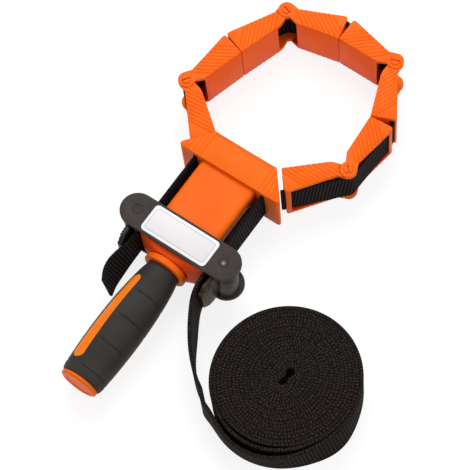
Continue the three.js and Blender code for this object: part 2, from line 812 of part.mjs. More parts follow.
// Handle: an orange core with collar and inlays, a soft grip over it and an end cap
const gripFrontY = collarFrontY - collarLength - touchGap;
const handleRearY = collarFrontY - handleLength;
const gripRearY = handleRearY + capThickness + touchGap;
const gripRun = gripFrontY - gripRearY;

// Radius of the grip at a share of its length from the collar
function gripProfile(share) {
  const swell = (a, b, t) => a + ((b - a) / 2) * (1 - Math.cos(Math.PI * Math.min(1, Math.max(0, t))));
  if (share <= gripNeckShare) return gripNeckRadius;
  if (share <= gripBellyShare) {
    return swell(gripNeckRadius, gripRadius, (share - gripNeckShare) / (gripBellyShare - gripNeckShare));
  }
  const past = (share - gripBellyShare) / (1 - gripBellyShare);
  return swell(gripRadius, gripEndRadius, past ** gripTailPower);
}

function gripPoints(offset, grooved) {
  const stops = [];
  const count = roundSteps / 2;
  for (let i = 0; i <= count; i += 1) stops.push([i / count, 0]);
  if (grooved) {
    const halfShare = gripGrooveWidth / 2 / gripRun;
    for (const share of gripGrooveShares) {
      stops.push([share - halfShare, 0], [share, gripGrooveDepth], [share + halfShare, 0]);
    }
  }
  const near = (a, b) => Math.abs(a - b) < gripGrooveWidth / gripRun;
  return stops
    .filter(([s, d], i) => i > count || !grooved || !gripGrooveShares.some((g) => near(s, g)) || d > 0)
    .sort((a, b) => a[0] - b[0])
    .map(([s, d]) => [gripProfile(s) + offset - d, gripFrontY - s * gripRun]);
}

function inlayCutter(clearance) {
  const from = gripFrontY - inlayStartShare * gripRun;
  const to = gripFrontY - inlayEndShare * gripRun;
  const half = (from - to) / 2 - inlayWidth / 2;
  const strip = stadium(half, inlayWidth / 2 - clearance, cornerSteps * 2)
    .map(([a, b]) => [b, a + (from + to) / 2]);
  const tall = prism(strip, coreRadius - cutOverrun, gripRadius + cutOverrun);
  return [0, 2 * quarterTurn].map((turn) => moved(
    tall.clone().rotateY((quarterTurn - inlayTurn + turn) * degrees), 0, 0, axisHeight,
  ));
}

function buildCore() {
  const holeR = spindleRadius + touchGap;
  const holeY = collarFrontY - spindleGrip - touchGap;
  const core = toSolid(alongHandle([
    [0, gripRearY], [coreRadius, gripRearY], [coreRadius, gripFrontY + touchGap],
    [collarRadius, gripFrontY + touchGap], [collarRadius, collarFrontY], [holeR, collarFrontY],
    [holeR, holeY], [0, holeY],
  ], gripSteps));
  const hull = gripPoints(-inlaySink, false);
  const envelope = toSolid(alongHandle([[0, gripFrontY], ...hull, [0, gripRearY]].reverse(), gripSteps));
  const ribs = inlayCutter(touchGap).map((tool) => toSolid(tool).intersect(envelope));
  const plug = toSolid(alongHandle([
    [0, gripRearY - cutOverrun], [capPlugRadius + touchGap, gripRearY - cutOverrun],
    [capPlugRadius + touchGap, gripRearY + capPlugLength + touchGap],
    [0, gripRearY + capPlugLength + touchGap],
  ], smallSteps));
  return toGeometry(cut(join(core, ...ribs), plug));
}

function buildGrip() {
  const bore = coreRadius + touchGap;
  const profile = [...gripPoints(0, true)].reverse();
  const shell = toSolid(alongHandle(
    [[bore, gripRearY], ...profile, [bore, gripFrontY], [bore, gripRearY]], gripSteps,
  ));
  return toGeometry(cut(shell, ...inlayCutter(0).map(toSolid)));
}
addPart('handle_core', buildCore(), collarPlastic);
addPart('handle_grip', buildGrip(), gripRubber);
addPart('handle_end_cap', alongHandle([
  [0, handleRearY], [gripEndRadius - capThickness / 4, handleRearY],
  [gripEndRadius, handleRearY + capThickness / 4],
  [gripEndRadius, handleRearY + capThickness], [capPlugRadius, handleRearY + capThickness],
  [capPlugRadius, handleRearY + capThickness + capPlugLength],
  [0, handleRearY + capThickness + capPlugLength],
], gripSteps), orangePlastic);

// Jaw arms. In an arm's own frame the hinge is the origin, +X runs to the free end and +Y to the work side.
const armHalf = armHeight / 2;
const earFloor = armHalf - earPlate;
const tongueTop = earFloor - touchGap;
const channelHalf = armHalf - armPlate;

// Plan of the plates: a disc at the hinge, a neck beside it, then a taper out to the full end face. An
// arm with pins has a rounded shoulder behind the mating ear and an arm with ears a straight one.
function armPlan({ reach, wallStart, pinned }) {
  const neckTurn = Math.atan2(armNeckOut, armNeckAlong)
    + Math.acos(earRadius / Math.hypot(armNeckOut, armNeckAlong));
  const outerTurn = 4 * quarterTurn - neckTurn / degrees;
  const points = [[armNeckAlong, -armNeckOut, armNeckRound], [reach, -armOuter, armEndRound]];
  points.push([reach, armWall], [wallStart, armWall]);
  if (pinned) {
    for (const [along, down] of shoulderSteps) points.push([wallStart * (1 - along), armWall * (1 - down)]);
  }
  for (let i = 0; i <= smallSteps; i += 1) {
    points.push(ahead([0, 0], earOpenTurn + ((outerTurn - earOpenTurn) * i) / smallSteps, earRadius));
  }
  return softened(points);
}

// Split snap pin that stands on a tongue and passes through the mating ear
function snapPin() {
  const lipLow = armHalf + touchGap;
  const top = lipLow + jawPinLipHeight;
  const pin = toSolid(upright([
    [0, tongueTop - earTongue / 2], [jawPinRadius, tongueTop - earTongue / 2], [jawPinRadius, lipLow],
    [jawPinRadius + jawPinLip, lipLow], [jawPinRadius, top], [0, top],
  ], 0, 0, smallSteps));
  return cut(pin, toSolid(block(
    [-jawPinSlot / 2, -jawPinRadius * 2, armHalf - earPlate / 2],
    [jawPinSlot / 2, jawPinRadius * 2, top + cutOverrun],
  )));
}

function bothSides(solid) {
  return [solid, toSolid(flipDown(toGeometry(solid)))];
}

// The two kinds of arm: one has inner tongues with snap pins, the other outer ears with holes
const armKinds = {
  pins: { reach: pinArmReach, wallStart: pinWallStart, pinned: true },
  ears: { reach: earArmReach, wallStart: earWallStart, pinned: false },
};

function buildArm(kind) {
  const { reach, wallStart, pinned } = kind;
  const far = reach + armOuter;
  let arm = toSolid(prism(armPlan(kind), -armHalf, armHalf));
  arm = cut(
    arm,
    toSolid(block([-far, -far, -channelHalf], [reach - armEndFrame, armWall - armContactWall, channelHalf])),
    toSolid(block([-far, -far, -channelHalf], [wallStart, far, channelHalf])),
  );
  const slotHalf = strapThickness / 2 + strapPlay;
  arm = cut(arm, toSolid(block(
    [reach - armEndFrame - cutOverrun, -armStrapAtEnd - slotHalf, -strapWidth / 2 - strapPlay],
    [reach + cutOverrun, -armStrapAtEnd + slotHalf, strapWidth / 2 + strapPlay],
  )));
  const clearR = earRadius + slideGap;
  if (pinned) {
    arm = cut(arm, toSolid(rod(clearR, -armHalf - cutOverrun, armHalf + cutOverrun, 0, 0, roundSteps)));
    const tongue = toSolid(prism(armPlan(kind), tongueTop - earTongue, tongueTop))
      .intersect(toSolid(block([-far, -far, 0], [wallStart, far, armHalf])));
    for (const side of [...bothSides(tongue), ...bothSides(snapPin())]) arm = join(arm, side);
  } else {
    const under = rod(clearR, 0, earFloor, 0, 0, roundSteps);
    const hole = rod(jawPinRadius + touchGap, 0, armHalf + cutOverrun, 0, 0);
    for (const side of [...bothSides(toSolid(under)), ...bothSides(toSolid(hole))]) arm = cut(arm, side);
  }
  const first = clearR + armGrooveMargin;
  const count = Math.floor((reach - armGrooveMargin - first) / armGroovePitch);
  for (let i = 0; i <= count; i += 1) {
    const x = first + armGroovePitch * i;
    const tool = groove(x, 0, armGrooveTurn, armOuter * 4, armGrooveWidth, armGrooveDepth, armHalf, true);
    const trimmed = cut(toSolid(tool), toSolid(rod(clearR, 0, armHalf + cutOverrun, 0, 0, roundSteps)));
    for (const side of bothSides(trimmed)) arm = cut(arm, side);
  }
  return toGeometry(arm);
}

// Strap in an arm: from the hinge, bent round it in the outer jaws, slanting out to the slot in the end
function armStrap({ atHinge, wrap }, endX) {
  const half = strapWidth / 2;
  const back = Array.from({ length: wrap ? cornerSteps : 0 }, (_, i) =>
    ahead([0, 0], -quarterTurn - wrap * (1 - i / cornerSteps), atHinge));
  const line = [...back, [0, -atHinge], [endX, -armStrapAtEnd]];
  return bandAlong(line, -half, half, strapThickness);
}

// Places of the hinges and junctions, walked from the left end of the head round to its right end
const headNormalTurn = Math.atan2(headNormal[1], headNormal[0]) / degrees;
const kindOf = (letter, pins) => (letter === pins ? armKinds.pins : armKinds.ears);
const spanOf = ({ reach }) => Math.hypot(reach, armWall);
const skewOf = ({ reach }) => Math.atan2(armWall, reach) / degrees;

function placeArms() {
  const places = [];
  let end = ahead([-headCorner[0], headCorner[1]], 2 * quarterTurn - headNormalTurn, headGap);
  jawPlans.forEach((plan, i) => {
    const [kindA, kindB] = [kindOf('a', plan.pins), kindOf('b', plan.pins)];
    const a = i ? plan.a : plan.a - headNormalTurn;
    const hinge = ahead(end, a + skewOf(kindA) + 2 * quarterTurn, spanOf(kindA));
    places.push({ jaw: i + 1, letter: 'a', hinge, heading: a, kind: kindA });
    places.push({ jaw: i + 1, letter: 'b', hinge, heading: plan.b, kind: kindB });
    end = ahead(ahead(hinge, plan.b - skewOf(kindB), spanOf(kindB)), plan.b, junctionGap);
  });
  // The last jaw closes the ring: its hinge lies where both of its arms reach their ends
  const [kindA, kindB] = [armKinds.ears, armKinds.pins];
  const rest = ahead(headCorner, headNormalTurn, openGap);
  const gap = [rest[0] - end[0], rest[1] - end[1]];
  const gapLength = Math.hypot(...gap);
  const along = (spanOf(kindA) ** 2 - spanOf(kindB) ** 2 + gapLength ** 2) / (2 * gapLength);
  const rise = Math.sqrt(spanOf(kindA) ** 2 - along ** 2);
  const [ux, uy] = [gap[0] / gapLength, gap[1] / gapLength];
  const hinge = [end[0] + ux * along - uy * rise, end[1] + uy * along + ux * rise];
  const turnTo = (p) => Math.atan2(p[1] - hinge[1], p[0] - hinge[0]) / degrees;
  const jaw = jawPlans.length + 1;
  places.push({ jaw, letter: 'a', hinge, heading: turnTo(end) - skewOf(kindA), kind: kindA });
  places.push({ jaw, letter: 'b', hinge, heading: turnTo(rest) + skewOf(kindB), kind: kindB, last: true });
  return places;
}

const armSolids = new Map(Object.values(armKinds).map((kind) => [kind, buildArm(kind)]));
for (const { jaw, letter, hinge, heading, kind, last } of placeArms()) {
  const holder = new THREE.Group();
  holder.position.set(hinge[0], hinge[1], axisHeight);
  holder.rotation.z = heading * degrees;
  clamp.add(holder);
  const turned = (solid) => (letter === 'a' ? flatCopy(solid) : outward(flatCopy(solid).scale(1, -1, 1)));
  addPart(`jaw_${jaw}_arm_${letter}`, turned(armSolids.get(kind)), orangePlastic, holder);
  const strapEnd = kind.reach + (last ? openGap - touchGap : (junctionGap - touchGap) / 2);
  addPart(`jaw_${jaw}_strap_${letter}`, turned(armStrap(jawStraps[jaw - 1], strapEnd)), webbing, holder);
}

// The wound roll, standing on edge on the ground, and the free strap that runs into it
function rollPoint(share) {
  const turn = rollEndAngle + 360 * rollTurns * share;
  const oval = 1 + rollOvalShare * Math.cos(2 * (turn - rollOvalTurn) * degrees);
  const r = (rollRadius - rollPitch * rollTurns * share) * oval;
  return [rollCentreX + r * Math.cos(turn * degrees), rollCentreY + r * Math.sin(turn * degrees)];
}

function rollLine() {
  const count = rollTurns * rollStepsPerTurn;
  const line = Array.from({ length: count + 1 }, (_, i) => rollPoint(i / count));
  return [ahead(line[0], rollHeading + 2 * quarterTurn, rollLead), ...line];
}

// The roll's length and the least gap between neighbouring turns, measured on its points
function measureRoll(line) {
  let length = 0;
  const between = (a, b) => Math.hypot(a[0] - b[0], a[1] - b[1]);
  for (let i = 1; i < line.length; i += 1) length += between(line[i], line[i - 1]);
  let gap = Infinity;
  for (let i = 1; i < line.length; i += 1) {
    for (let j = i + rollStepsPerTurn / 2; j < Math.min(line.length, i + 1.5 * rollStepsPerTurn); j += 1) {
      gap = Math.min(gap, between(line[i], line[j]) - strapThickness);
    }
  }
  return { length, gap };
}
const roll = rollLine();

function buildFreeStrap() {
  const half = strapWidth / 2;
  const end = ahead(roll[0], rollHeading + 2 * quarterTurn, touchGap);
  const before = ahead(end, rollHeading + 2 * quarterTurn, rollLead);
  const line = smoothLine([...freeRoute, [...before, half], [...end, half]], freeRouteSteps);
  return band(line.map(([x, y, z]) => [x, y, z - half]), line.map(([x, y, z]) => [x, y, z + half]));
}
addPart('strap_free', buildFreeStrap(), webbing);
addPart('strap_roll', bandAlong(roll, 0, strapWidth, strapThickness), webbing);
const measured = measureRoll(roll);
console.log(`roll: ${measured.length.toFixed(0)} mm of strap, least gap ${measured.gap.toFixed(2)} mm`);

export default clamp;
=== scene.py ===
"""Ratchet band clamp: finishes, fine pieces, webbing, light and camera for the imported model."""

from __future__ import annotations

import json
import logging
import math
from contextlib import contextmanager
from dataclasses import dataclass
from enum import Enum
from typing import Iterator, Sequence

import bpy
from mathutils import Matrix, Vector

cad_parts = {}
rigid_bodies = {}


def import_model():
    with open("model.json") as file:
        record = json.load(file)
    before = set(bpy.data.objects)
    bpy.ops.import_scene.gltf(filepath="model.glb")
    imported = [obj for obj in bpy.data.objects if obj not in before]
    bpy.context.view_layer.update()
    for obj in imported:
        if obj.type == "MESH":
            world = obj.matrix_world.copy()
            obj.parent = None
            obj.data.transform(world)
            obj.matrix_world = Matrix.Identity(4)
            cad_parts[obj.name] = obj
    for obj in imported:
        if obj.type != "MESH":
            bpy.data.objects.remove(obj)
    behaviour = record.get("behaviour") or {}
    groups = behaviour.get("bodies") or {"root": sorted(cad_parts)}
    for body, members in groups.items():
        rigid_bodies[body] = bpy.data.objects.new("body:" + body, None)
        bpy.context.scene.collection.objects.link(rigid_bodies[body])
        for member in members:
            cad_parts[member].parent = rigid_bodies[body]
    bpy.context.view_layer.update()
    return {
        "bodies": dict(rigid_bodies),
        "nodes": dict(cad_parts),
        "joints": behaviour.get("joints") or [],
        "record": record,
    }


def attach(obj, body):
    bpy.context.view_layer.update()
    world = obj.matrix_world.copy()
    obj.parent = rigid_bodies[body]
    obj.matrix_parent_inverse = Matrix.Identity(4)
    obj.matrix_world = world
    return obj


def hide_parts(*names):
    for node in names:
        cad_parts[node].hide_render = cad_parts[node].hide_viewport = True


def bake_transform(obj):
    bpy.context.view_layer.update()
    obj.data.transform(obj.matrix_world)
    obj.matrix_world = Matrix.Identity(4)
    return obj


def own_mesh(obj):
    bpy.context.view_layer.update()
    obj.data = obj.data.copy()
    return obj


LOG = logging.getLogger("band_clamp")
MM = 0.001
Colour = tuple[float, float, float, float]
Point = tuple[float, float, float]
Ring = tuple[float, float]


def mm(*values: float) -> Point:
    """Turns lengths in millimetres into a point or a row of lengths in metres."""
    return tuple(value * MM for value in values)


def rgb(red: float, green: float, blue: float) -> Colour:
    """Gives an opaque colour."""
    return red, green, blue, 1.0


def rings(rows: Sequence[Ring]) -> list[Ring]:
    """Turns radii and places along an axis from millimetres into metres."""
    return [(radius * MM, place * MM) for radius, place in rows]


WHITE = rgb(1.0, 1.0, 1.0)
ORANGE = rgb(1.0, 0.158, 0.006), rgb(0.97, 0.136, 0.004)


class Side(Enum):
    """The two ends of the crossbar, seen from the handle."""

    LEFT = -1
    RIGHT = 1


# Shader graphs


class Wire:
    """A shader value that Python's operators turn into Math nodes."""

    def __init__(self, graph: "Graph", socket: bpy.types.NodeSocket) -> None:
        """Keeps the socket and the graph that it belongs to."""
        self.graph = graph
        self.socket = socket

    def __add__(self, other: "Wire | float") -> "Wire":
        """Adds another value."""
        return self.graph.maths("ADD", self, other)

    def __radd__(self, other: float) -> "Wire":
        """Adds this value to a number."""
        return self.graph.maths("ADD", other, self)

    def __sub__(self, other: "Wire | float") -> "Wire":
        """Takes another value away."""
        return self.graph.maths("SUBTRACT", self, other)

    def __rsub__(self, other: float) -> "Wire":
        """Takes this value from a number."""
        return self.graph.maths("SUBTRACT", other, self)

    def __mul__(self, other: "Wire | float") -> "Wire":
        """Multiplies by another value."""
        return self.graph.maths("MULTIPLY", self, other)

    def __rmul__(self, other: float) -> "Wire":
        """Multiplies a number by this value."""
        return self.graph.maths("MULTIPLY", other, self)

    def wave(self) -> "Wire":
        """Gives a sine wave between 0 and 1."""
        return self.graph.maths("SINE", self) * 0.5 + 0.5

    def size(self) -> "Wire":
        """Gives the value without its sign."""
        return self.graph.maths("ABSOLUTE", self)

    def at_least(self, floor: "Wire | float") -> "Wire":
        """Gives the larger of two values."""
        return self.graph.maths("MAXIMUM", self, floor)

    def at_most(self, ceiling: "Wire | float") -> "Wire":
        """Gives the smaller of two values."""
        return self.graph.maths("MINIMUM", self, ceiling)

    def rise(self, low: float, high: float) -> "Wire":
        """Gives a smooth step.

        Args:
            low: The value where the step is still 0.
            high: The value where it reaches 1.

        Returns:
            The step.
        """
        ends = {"Value": self, "From Min": low, "From Max": high, "To Min": 0.0, "To Max": 1.0}
        return self.graph.wire("ShaderNodeMapRange", "Result", ends, interpolation_type="SMOOTHSTEP")


class Graph:
    """One material's node tree, with short ways to add what the finishes use."""

    def __init__(self, name: str, owner: bpy.types.World | None = None) -> None:
        """Starts an empty node tree.

        Args:
            name: The material's name.
            owner: A world that gets the tree in place of a new material.
        """
        self.material = owner or bpy.data.materials.new(name)
        self.material.use_nodes = True
        self.tree = self.material.node_tree
        self.tree.nodes.clear()

    def node(self, kind: str, values: dict | None = None, **settings: object) -> bpy.types.Node:
        """Adds a node, sets it and fills or links its inputs.

        Args:
            kind: The node's type name.
            values: Input names or indexes, with a Wire to link or a value to set.
            settings: Properties of the node, set first.

        Returns:
            The new node.
        """
        made = self.tree.nodes.new(kind)
        for key, value in settings.items():
            setattr(made, key, value)
        for key, value in (values or {}).items():
            if isinstance(value, Wire):
                self.tree.links.new(value.socket, made.inputs[key])
            else:
                made.inputs[key].default_value = value
        return made

    def wire(self, kind: str, output: int | str, values: dict | None = None, **settings: object) -> Wire:
        """Adds a node and gives one of its outputs.

        Args:
            kind: The node's type name.
            output: The output's name or index.
            values: The node's inputs, as in node.
            settings: Properties of the node.

        Returns:
            The output.
        """
        return Wire(self, self.node(kind, values, **settings).outputs[output])

    def maths(self, operation: str, *values: Wire | float) -> Wire:
        """Adds a Math node on values in their order."""
        return self.wire("ShaderNodeMath", 0, dict(enumerate(values)), operation=operation)

    def length(self, x: Wire, y: Wire) -> Wire:
        """Gives the length of a way in plan."""
        return self.maths("SQRT", x * x + y * y)

    def place(self) -> Wire:
        """Gives the point on the piece, in metres."""
        return self.wire("ShaderNodeTexCoord", "Object")

    def strip(self) -> tuple[Wire, Wire]:
        """Gives the way along the webbing and the way across it, in metres."""
        return self.parts(self.wire("ShaderNodeUVMap", "UV", uv_map="strip"))[:2]

    def parts(self, vector: Wire) -> tuple[Wire, Wire, Wire]:
        """Splits a vector into its three numbers."""
        made = self.node("ShaderNodeSeparateXYZ", {"Vector": vector})
        return tuple(Wire(self, made.outputs[i]) for i in range(3))

    def noise(self, vector: Wire, scale: float, detail: float) -> Wire:
        """Adds noise between 0 and 1.

        Args:
            vector: Where the noise is read.
            scale: Waves per metre.
            detail: Octaves.

        Returns:
            The noise value.
        """
        values = {"Vector": vector, "Scale": scale, "Detail": detail}
        return self.wire("ShaderNodeTexNoise", "Fac", values)

    def blend(self, share: Wire | float, low: Colour | Wire, high: Colour | Wire) -> Wire:
        """Mixes two colours.

        Args:
            share: 0 for the first colour and 1 for the second.
            low: The first colour.
            high: The second colour.

        Returns:
            The mixed colour.
        """
        return self.wire("ShaderNodeMix", 2, {0: share, 6: low, 7: high}, data_type="RGBA")

    def bump(self, height: Wire, depth: float, strength: float) -> Wire:
        """Turns a height into a normal.

        Args:
            height: 0 to 1.
            depth: The height of 1 in metres.
            strength: How much of it shows.

        Returns:
            The normal.
        """
        values = {"Height": height, "Distance": depth, "Strength": strength}
        return self.wire("ShaderNodeBump", "Normal", values)

    def surface(self, values: dict) -> bpy.types.Material:
        """Ends the graph in one Principled surface.

        Args:
            values: The surface's inputs by name.

        Returns:
            The finished material.
        """
        shader = self.wire("ShaderNodeBsdfPrincipled", "BSDF", values)
        self.node("ShaderNodeOutputMaterial", {"Surface": shader})
        return self.material


# Finishes


@dataclass(frozen=True)
class Skin:
    """A finish of two tones that drift over the piece, with a fine grain and an uneven gloss.

    Drift and grain hold waves per metre and octaves, tones the noise values between which the colour
    changes, and relief the grain's depth in metres and how much of it shows.
    """

    name: str
    colour: Colour
    shade: Colour
    roughness: float = 0.4
    uneven: float = 0.12
    gloss: float = 0.08
    drift: tuple[float, float] = (55.0, 2.0)
    grain: tuple[float, float] = (2600.0, 2.0)
    tones: tuple[float, float] = (0.3, 0.75)
    relief: tuple[float, float] = (0.02 * MM, 0.35)

    def tone(self, g: Graph, share: Wire) -> Wire:
        """Gives the colour from a share between the finish's two tones."""
        return g.blend(share, self.colour, self.shade)

    def height(self, drift: Wire, grain: Wire) -> Wire:
        """Gives the relief, which is the grain alone."""
        return grain

    def dullness(self, drift: Wire, grain: Wire) -> Wire:
        """Gives the noise that the roughness follows, which is the drift."""
        return drift

    def material(self) -> bpy.types.Material:
        """Builds the material.

        Returns:
            The finished material.
        """
        g = Graph(self.name)
        drift, grain = (g.noise(g.place(), *size) for size in (self.drift, self.grain))
        dull = self.dullness(drift, grain)
        return g.surface({
            "Base Color": self.tone(g, drift.rise(*self.tones)),
            "Roughness": dull * self.uneven + (self.roughness - self.uneven / 2.0),
            "Normal": g.bump(self.height(drift, grain), *self.relief),
            "Specular IOR Level": self.gloss,
        })


@dataclass(frozen=True)
class MouldedPlastic(Skin):
    """Injection-moulded plastic with a fine spark grain and faint flow marks.

    A piece with grooves below its flat top gets painted shade on its groove floors, and a darker red painted
    shade on the floor far inside. The fades count in groove depths: into and out of the grooves' floors, and
    away from the floor inside.
    """

    grooved_z: float = 0.0
    groove_depth: float = 0.5 * MM
    groove_shade_share: float = 0.6
    fade_in: tuple[float, float] = (0.4, 0.8)
    fade_out: tuple[float, float] = (1.1, 1.3)
    fade_inside: tuple[float, float] = (0.3, 0.5)
    # Colours of the painted shade on the groove floors and on the floor far inside.
    groove_shade: Colour = rgb(0.6, 0.058, 0.003)
    inside: Colour = rgb(0.8, 0.028, 0.003)
    inside_drop: float = 29.0 * MM

    def tone(self, g: Graph, share: Wire) -> Wire:
        """Gives the colour, with painted shade on the floors of the grooves and on the floor inside.

        Args:
            g: The material's graph.
            share: The share between the finish's two tones.

        Returns:
            The colour.
        """
        tone = super().tone(g, share)
        if not self.grooved_z:
            return tone
        start, stop, near = (
            [share * self.groove_depth for share in fade]
            for fade in (self.fade_in, self.fade_out, self.fade_inside)
        )
        below = self.grooved_z - g.parts(g.place())[2]
        upward = g.wire("ShaderNodeAttribute", "Fac", attribute_name="upward")
        # Painted shade on the groove floors: upward faces one groove deep below the top.
        level = below.rise(*start) * (1.0 - below.rise(*stop))
        tone = g.blend(level * upward * self.groove_shade_share, tone, self.groove_shade)
        # Painted shade, darker red, on the upward floor far inside.
        inside_shade_mask = 1.0 - (below - self.inside_drop).size().rise(*near)
        return g.blend(inside_shade_mask * upward, tone, self.inside)


@dataclass(frozen=True)
class TwoToneAndShadedPlastic(Skin):
    """Moulded plastic whose colour changes along Y. On the handle core the lighter inlays behind the change
    are a real second tone and the redder collar ahead of it is partly painted shade; on the housing the
    darker red behind the change is painted shade under the crossbar.
    """

    change_y: float = 0.0
    change_half: float = 0.4 * MM
    ahead: tuple[Colour, Colour] = ORANGE

    def tone(self, g: Graph, share: Wire) -> Wire:
        """Gives the colour: one pair of tones in front of the change and one behind it.

        Args:
            g: The material's graph.
            share: The share between two tones.

        Returns:
            The colour.
        """
        y = g.parts(g.place())[1]
        in_front = y.rise(self.change_y - self.change_half, self.change_y + self.change_half)
        return g.blend(in_front, super().tone(g, share), g.blend(share, *self.ahead))


@dataclass(frozen=True)
class CoatedSheet(Skin):
    """Steel sheet under a satin powder coat."""

    roughness: float = 0.5
    uneven: float = 0.16
    drift: tuple[float, float] = (90.0, 2.0)
    grain: tuple[float, float] = (1500.0, 3.0)
    tones: tuple[float, float] = (0.3, 0.7)
    relief: tuple[float, float] = (0.04 * MM, 0.4)

    def dullness(self, drift: Wire, grain: Wire) -> Wire:
        """Gives the noise that the roughness follows, which is the grain of the powder."""
        return grain


@dataclass(frozen=True)
class GripRubber(Skin):
    """Soft rubber with a matt skin, a little lighter where it is handled."""

    roughness: float = 0.57
    uneven: float = 0.14
    gloss: float = 0.12
    drift: tuple[float, float] = (60.0, 3.0)
    grain: tuple[float, float] = (2200.0, 2.0)
    tones: tuple[float, float] = (0.35, 0.7)
    relief: tuple[float, float] = (0.03 * MM, 0.5)


@dataclass(frozen=True)
class LacqueredCasting(Skin):
    """A die casting under dark lacquer, uneven in tone and gloss, with a darker hub where it has one."""

    roughness: float = 0.365
    uneven: float = 0.25
    gloss: float = 0.08
    drift: tuple[float, float] = (240.0, 4.0)
    grain: tuple[float, float] = (1800.0, 2.0)
    tones: tuple[float, float] = (0.35, 0.68)
    relief: tuple[float, float] = (0.12 * MM, 0.4)
    drift_in_relief: float = 0.7
    hub: Colour = rgb(0.012, 0.008, 0.005)
    hub_place: tuple[float, float] = (31.4 * MM, -58.6 * MM)
    hub_radius: float = 0.0
    hub_fade: float = 0.07

    def tone(self, g: Graph, share: Wire) -> Wire:
        """Gives the colour, darker on the hub.

        Args:
            g: The material's graph.
            share: The share between the finish's two tones.

        Returns:
            The colour.
        """
        tone = super().tone(g, share)
        if not self.hub_radius:
            return tone
        x, y, _ = g.parts(g.place())
        away = g.length(x - self.hub_place[0], y - self.hub_place[1])
        fade = self.hub_radius * self.hub_fade
        return g.blend(away.rise(self.hub_radius - fade, self.hub_radius + fade), self.hub, tone)

    def height(self, drift: Wire, grain: Wire) -> Wire:
        """Gives the relief, in which the drift shows more than the grain."""
        return drift * self.drift_in_relief + grain * (1.0 - self.drift_in_relief)


@dataclass(frozen=True)
class WovenWebbing:
    """Black polyester webbing: slanted ribs across the width, yarns in each rib, beaded edges.

    Lengths are in metres. The light of the ribs comes from their height and from fuzz, and that of the
    beads from their form and from specks. A wound supply has darker ribs on the wall of the roll, which is
    painted shade.
    """

    name: str
    colour: Colour
    high: Colour
    wall_shade_high: Colour | None = None
    wound_from: tuple[float, float] = (0.075, 0.105)
    width: float = 25.0 * MM
    pitch: float = 2.2 * MM
    slant: float = 0.13
    wander: float = 0.25
    yarn: float = 0.42 * MM
    yarn_share: float = 0.25
    fuzz: tuple[float, float] = (1400.0, 3.0)
    light: tuple[float, float] = (0.8, 0.45)
    lit: tuple[float, float] = (0.35, 1.1)
    bead: float = 1.8 * MM
    bead_share: float = 0.62
    bead_light: tuple[float, float] = (0.3, 1.2)
    bead_lit: tuple[float, float] = (0.58, 1.05)
    bead_flank: float = 0.15
    speck: tuple[float, float] = (800.0, 2.0)
    rim: float = 0.3 * MM
    rim_top: tuple[float, float] = (0.3, 1.6)
    shuffle: float = 9.0 * MM
    shuffle_noise: tuple[float, float] = (40.0, 1.0)
    roughness: float = 0.88
    polish: float = 0.18
    relief: tuple[float, float] = (0.28 * MM, 0.85)
    gloss: float = 0.04

    def material(self) -> bpy.types.Material:
        """Builds the material.

        Returns:
            The finished material.
        """
        g = Graph(self.name)
        along, across = g.strip()
        fuzz = g.noise(g.place(), *self.fuzz)
        phase = along + across * self.slant + (fuzz - 0.5) * (self.wander * self.pitch)
        phase = phase * (2.0 * math.pi / self.pitch)
        rib = phase.wave()
        warp = (across * (2.0 * math.pi / self.yarn) + phase * 0.5).wave()
        height = rib * (1.0 - self.yarn_share) + warp * rib * self.yarn_share
        lit = (height * self.light[0] + fuzz * self.light[1]).rise(*self.lit)
        flank = across.size()
        on_rim = flank.rise(self.width - self.rim, self.width - self.rim / 3.0)
        bead = self._beads(g, along, flank)
        high = self.high
        # Painted shade: darker ribs on the wall of the roll.
        if self.wall_shade_high:
            wall_shade_mask = along.rise(*self.wound_from) * (1.0 - on_rim)
            high = g.blend(wall_shade_mask, self.high, self.wall_shade_high)
        return g.surface({
            "Base Color": g.blend(lit * (1.0 - on_rim) + bead * on_rim, self.colour, high),
            "Roughness": self.roughness - height * self.polish,
            "Normal": g.bump(height * (1.0 - on_rim) + bead * on_rim, *self.relief),
            "Specular IOR Level": self.gloss,
        })

    def _beads(self, g: Graph, along: Wire, flank: Wire) -> Wire:
        """Gives the light on the turns of weft along the webbing's edges.

        Args:
            g: The material's graph.
            along: The way along the webbing.
            flank: The way across it, past the width on the top of an edge.

        Returns:
            The light, from 0 to 1.
        """
        way = g.wire("ShaderNodeCombineXYZ", "Vector", {"X": along})
        drift = (g.noise(way, *self.shuffle_noise) - 0.5) * self.shuffle
        pearl = ((along + drift) * (2.0 * math.pi / self.bead)).wave()
        speck = g.noise(g.place(), *self.speck)
        on_top = flank.rise(*(self.width + self.rim * share for share in self.rim_top))
        crown = on_top * (1.0 - self.bead_flank) + self.bead_flank
        lit = (pearl * self.bead_light[0] + speck * self.bead_light[1]).rise(*self.bead_lit)
        return lit * crown * self.bead_share


@dataclass(frozen=True)
class PlainSteel:
    """Bright steel, turned or drawn, with fine lines round its upright axis."""

    name: str
    colour: Colour
    roughness: float = 0.3
    uneven: float = 0.2
    lines: tuple[float, float] = (420.0, 3.0)
    stretch: Point = (1.0, 1.0, 14.0)
    relief: tuple[float, float] = (0.03 * MM, 0.3)

    def material(self) -> bpy.types.Material:
        """Builds the material.

        Returns:
            The finished material.
        """
        g = Graph(self.name)
        drawn = g.wire("ShaderNodeMapping", "Vector", {"Vector": g.place(), "Scale": self.stretch})
        lines = g.noise(drawn, *self.lines)
        return g.surface({
            "Base Color": self.colour,
            "Metallic": 1.0,
            "Roughness": lines * self.uneven + (self.roughness - self.uneven / 2.0),
            "Normal": g.bump(lines, *self.relief),
        })


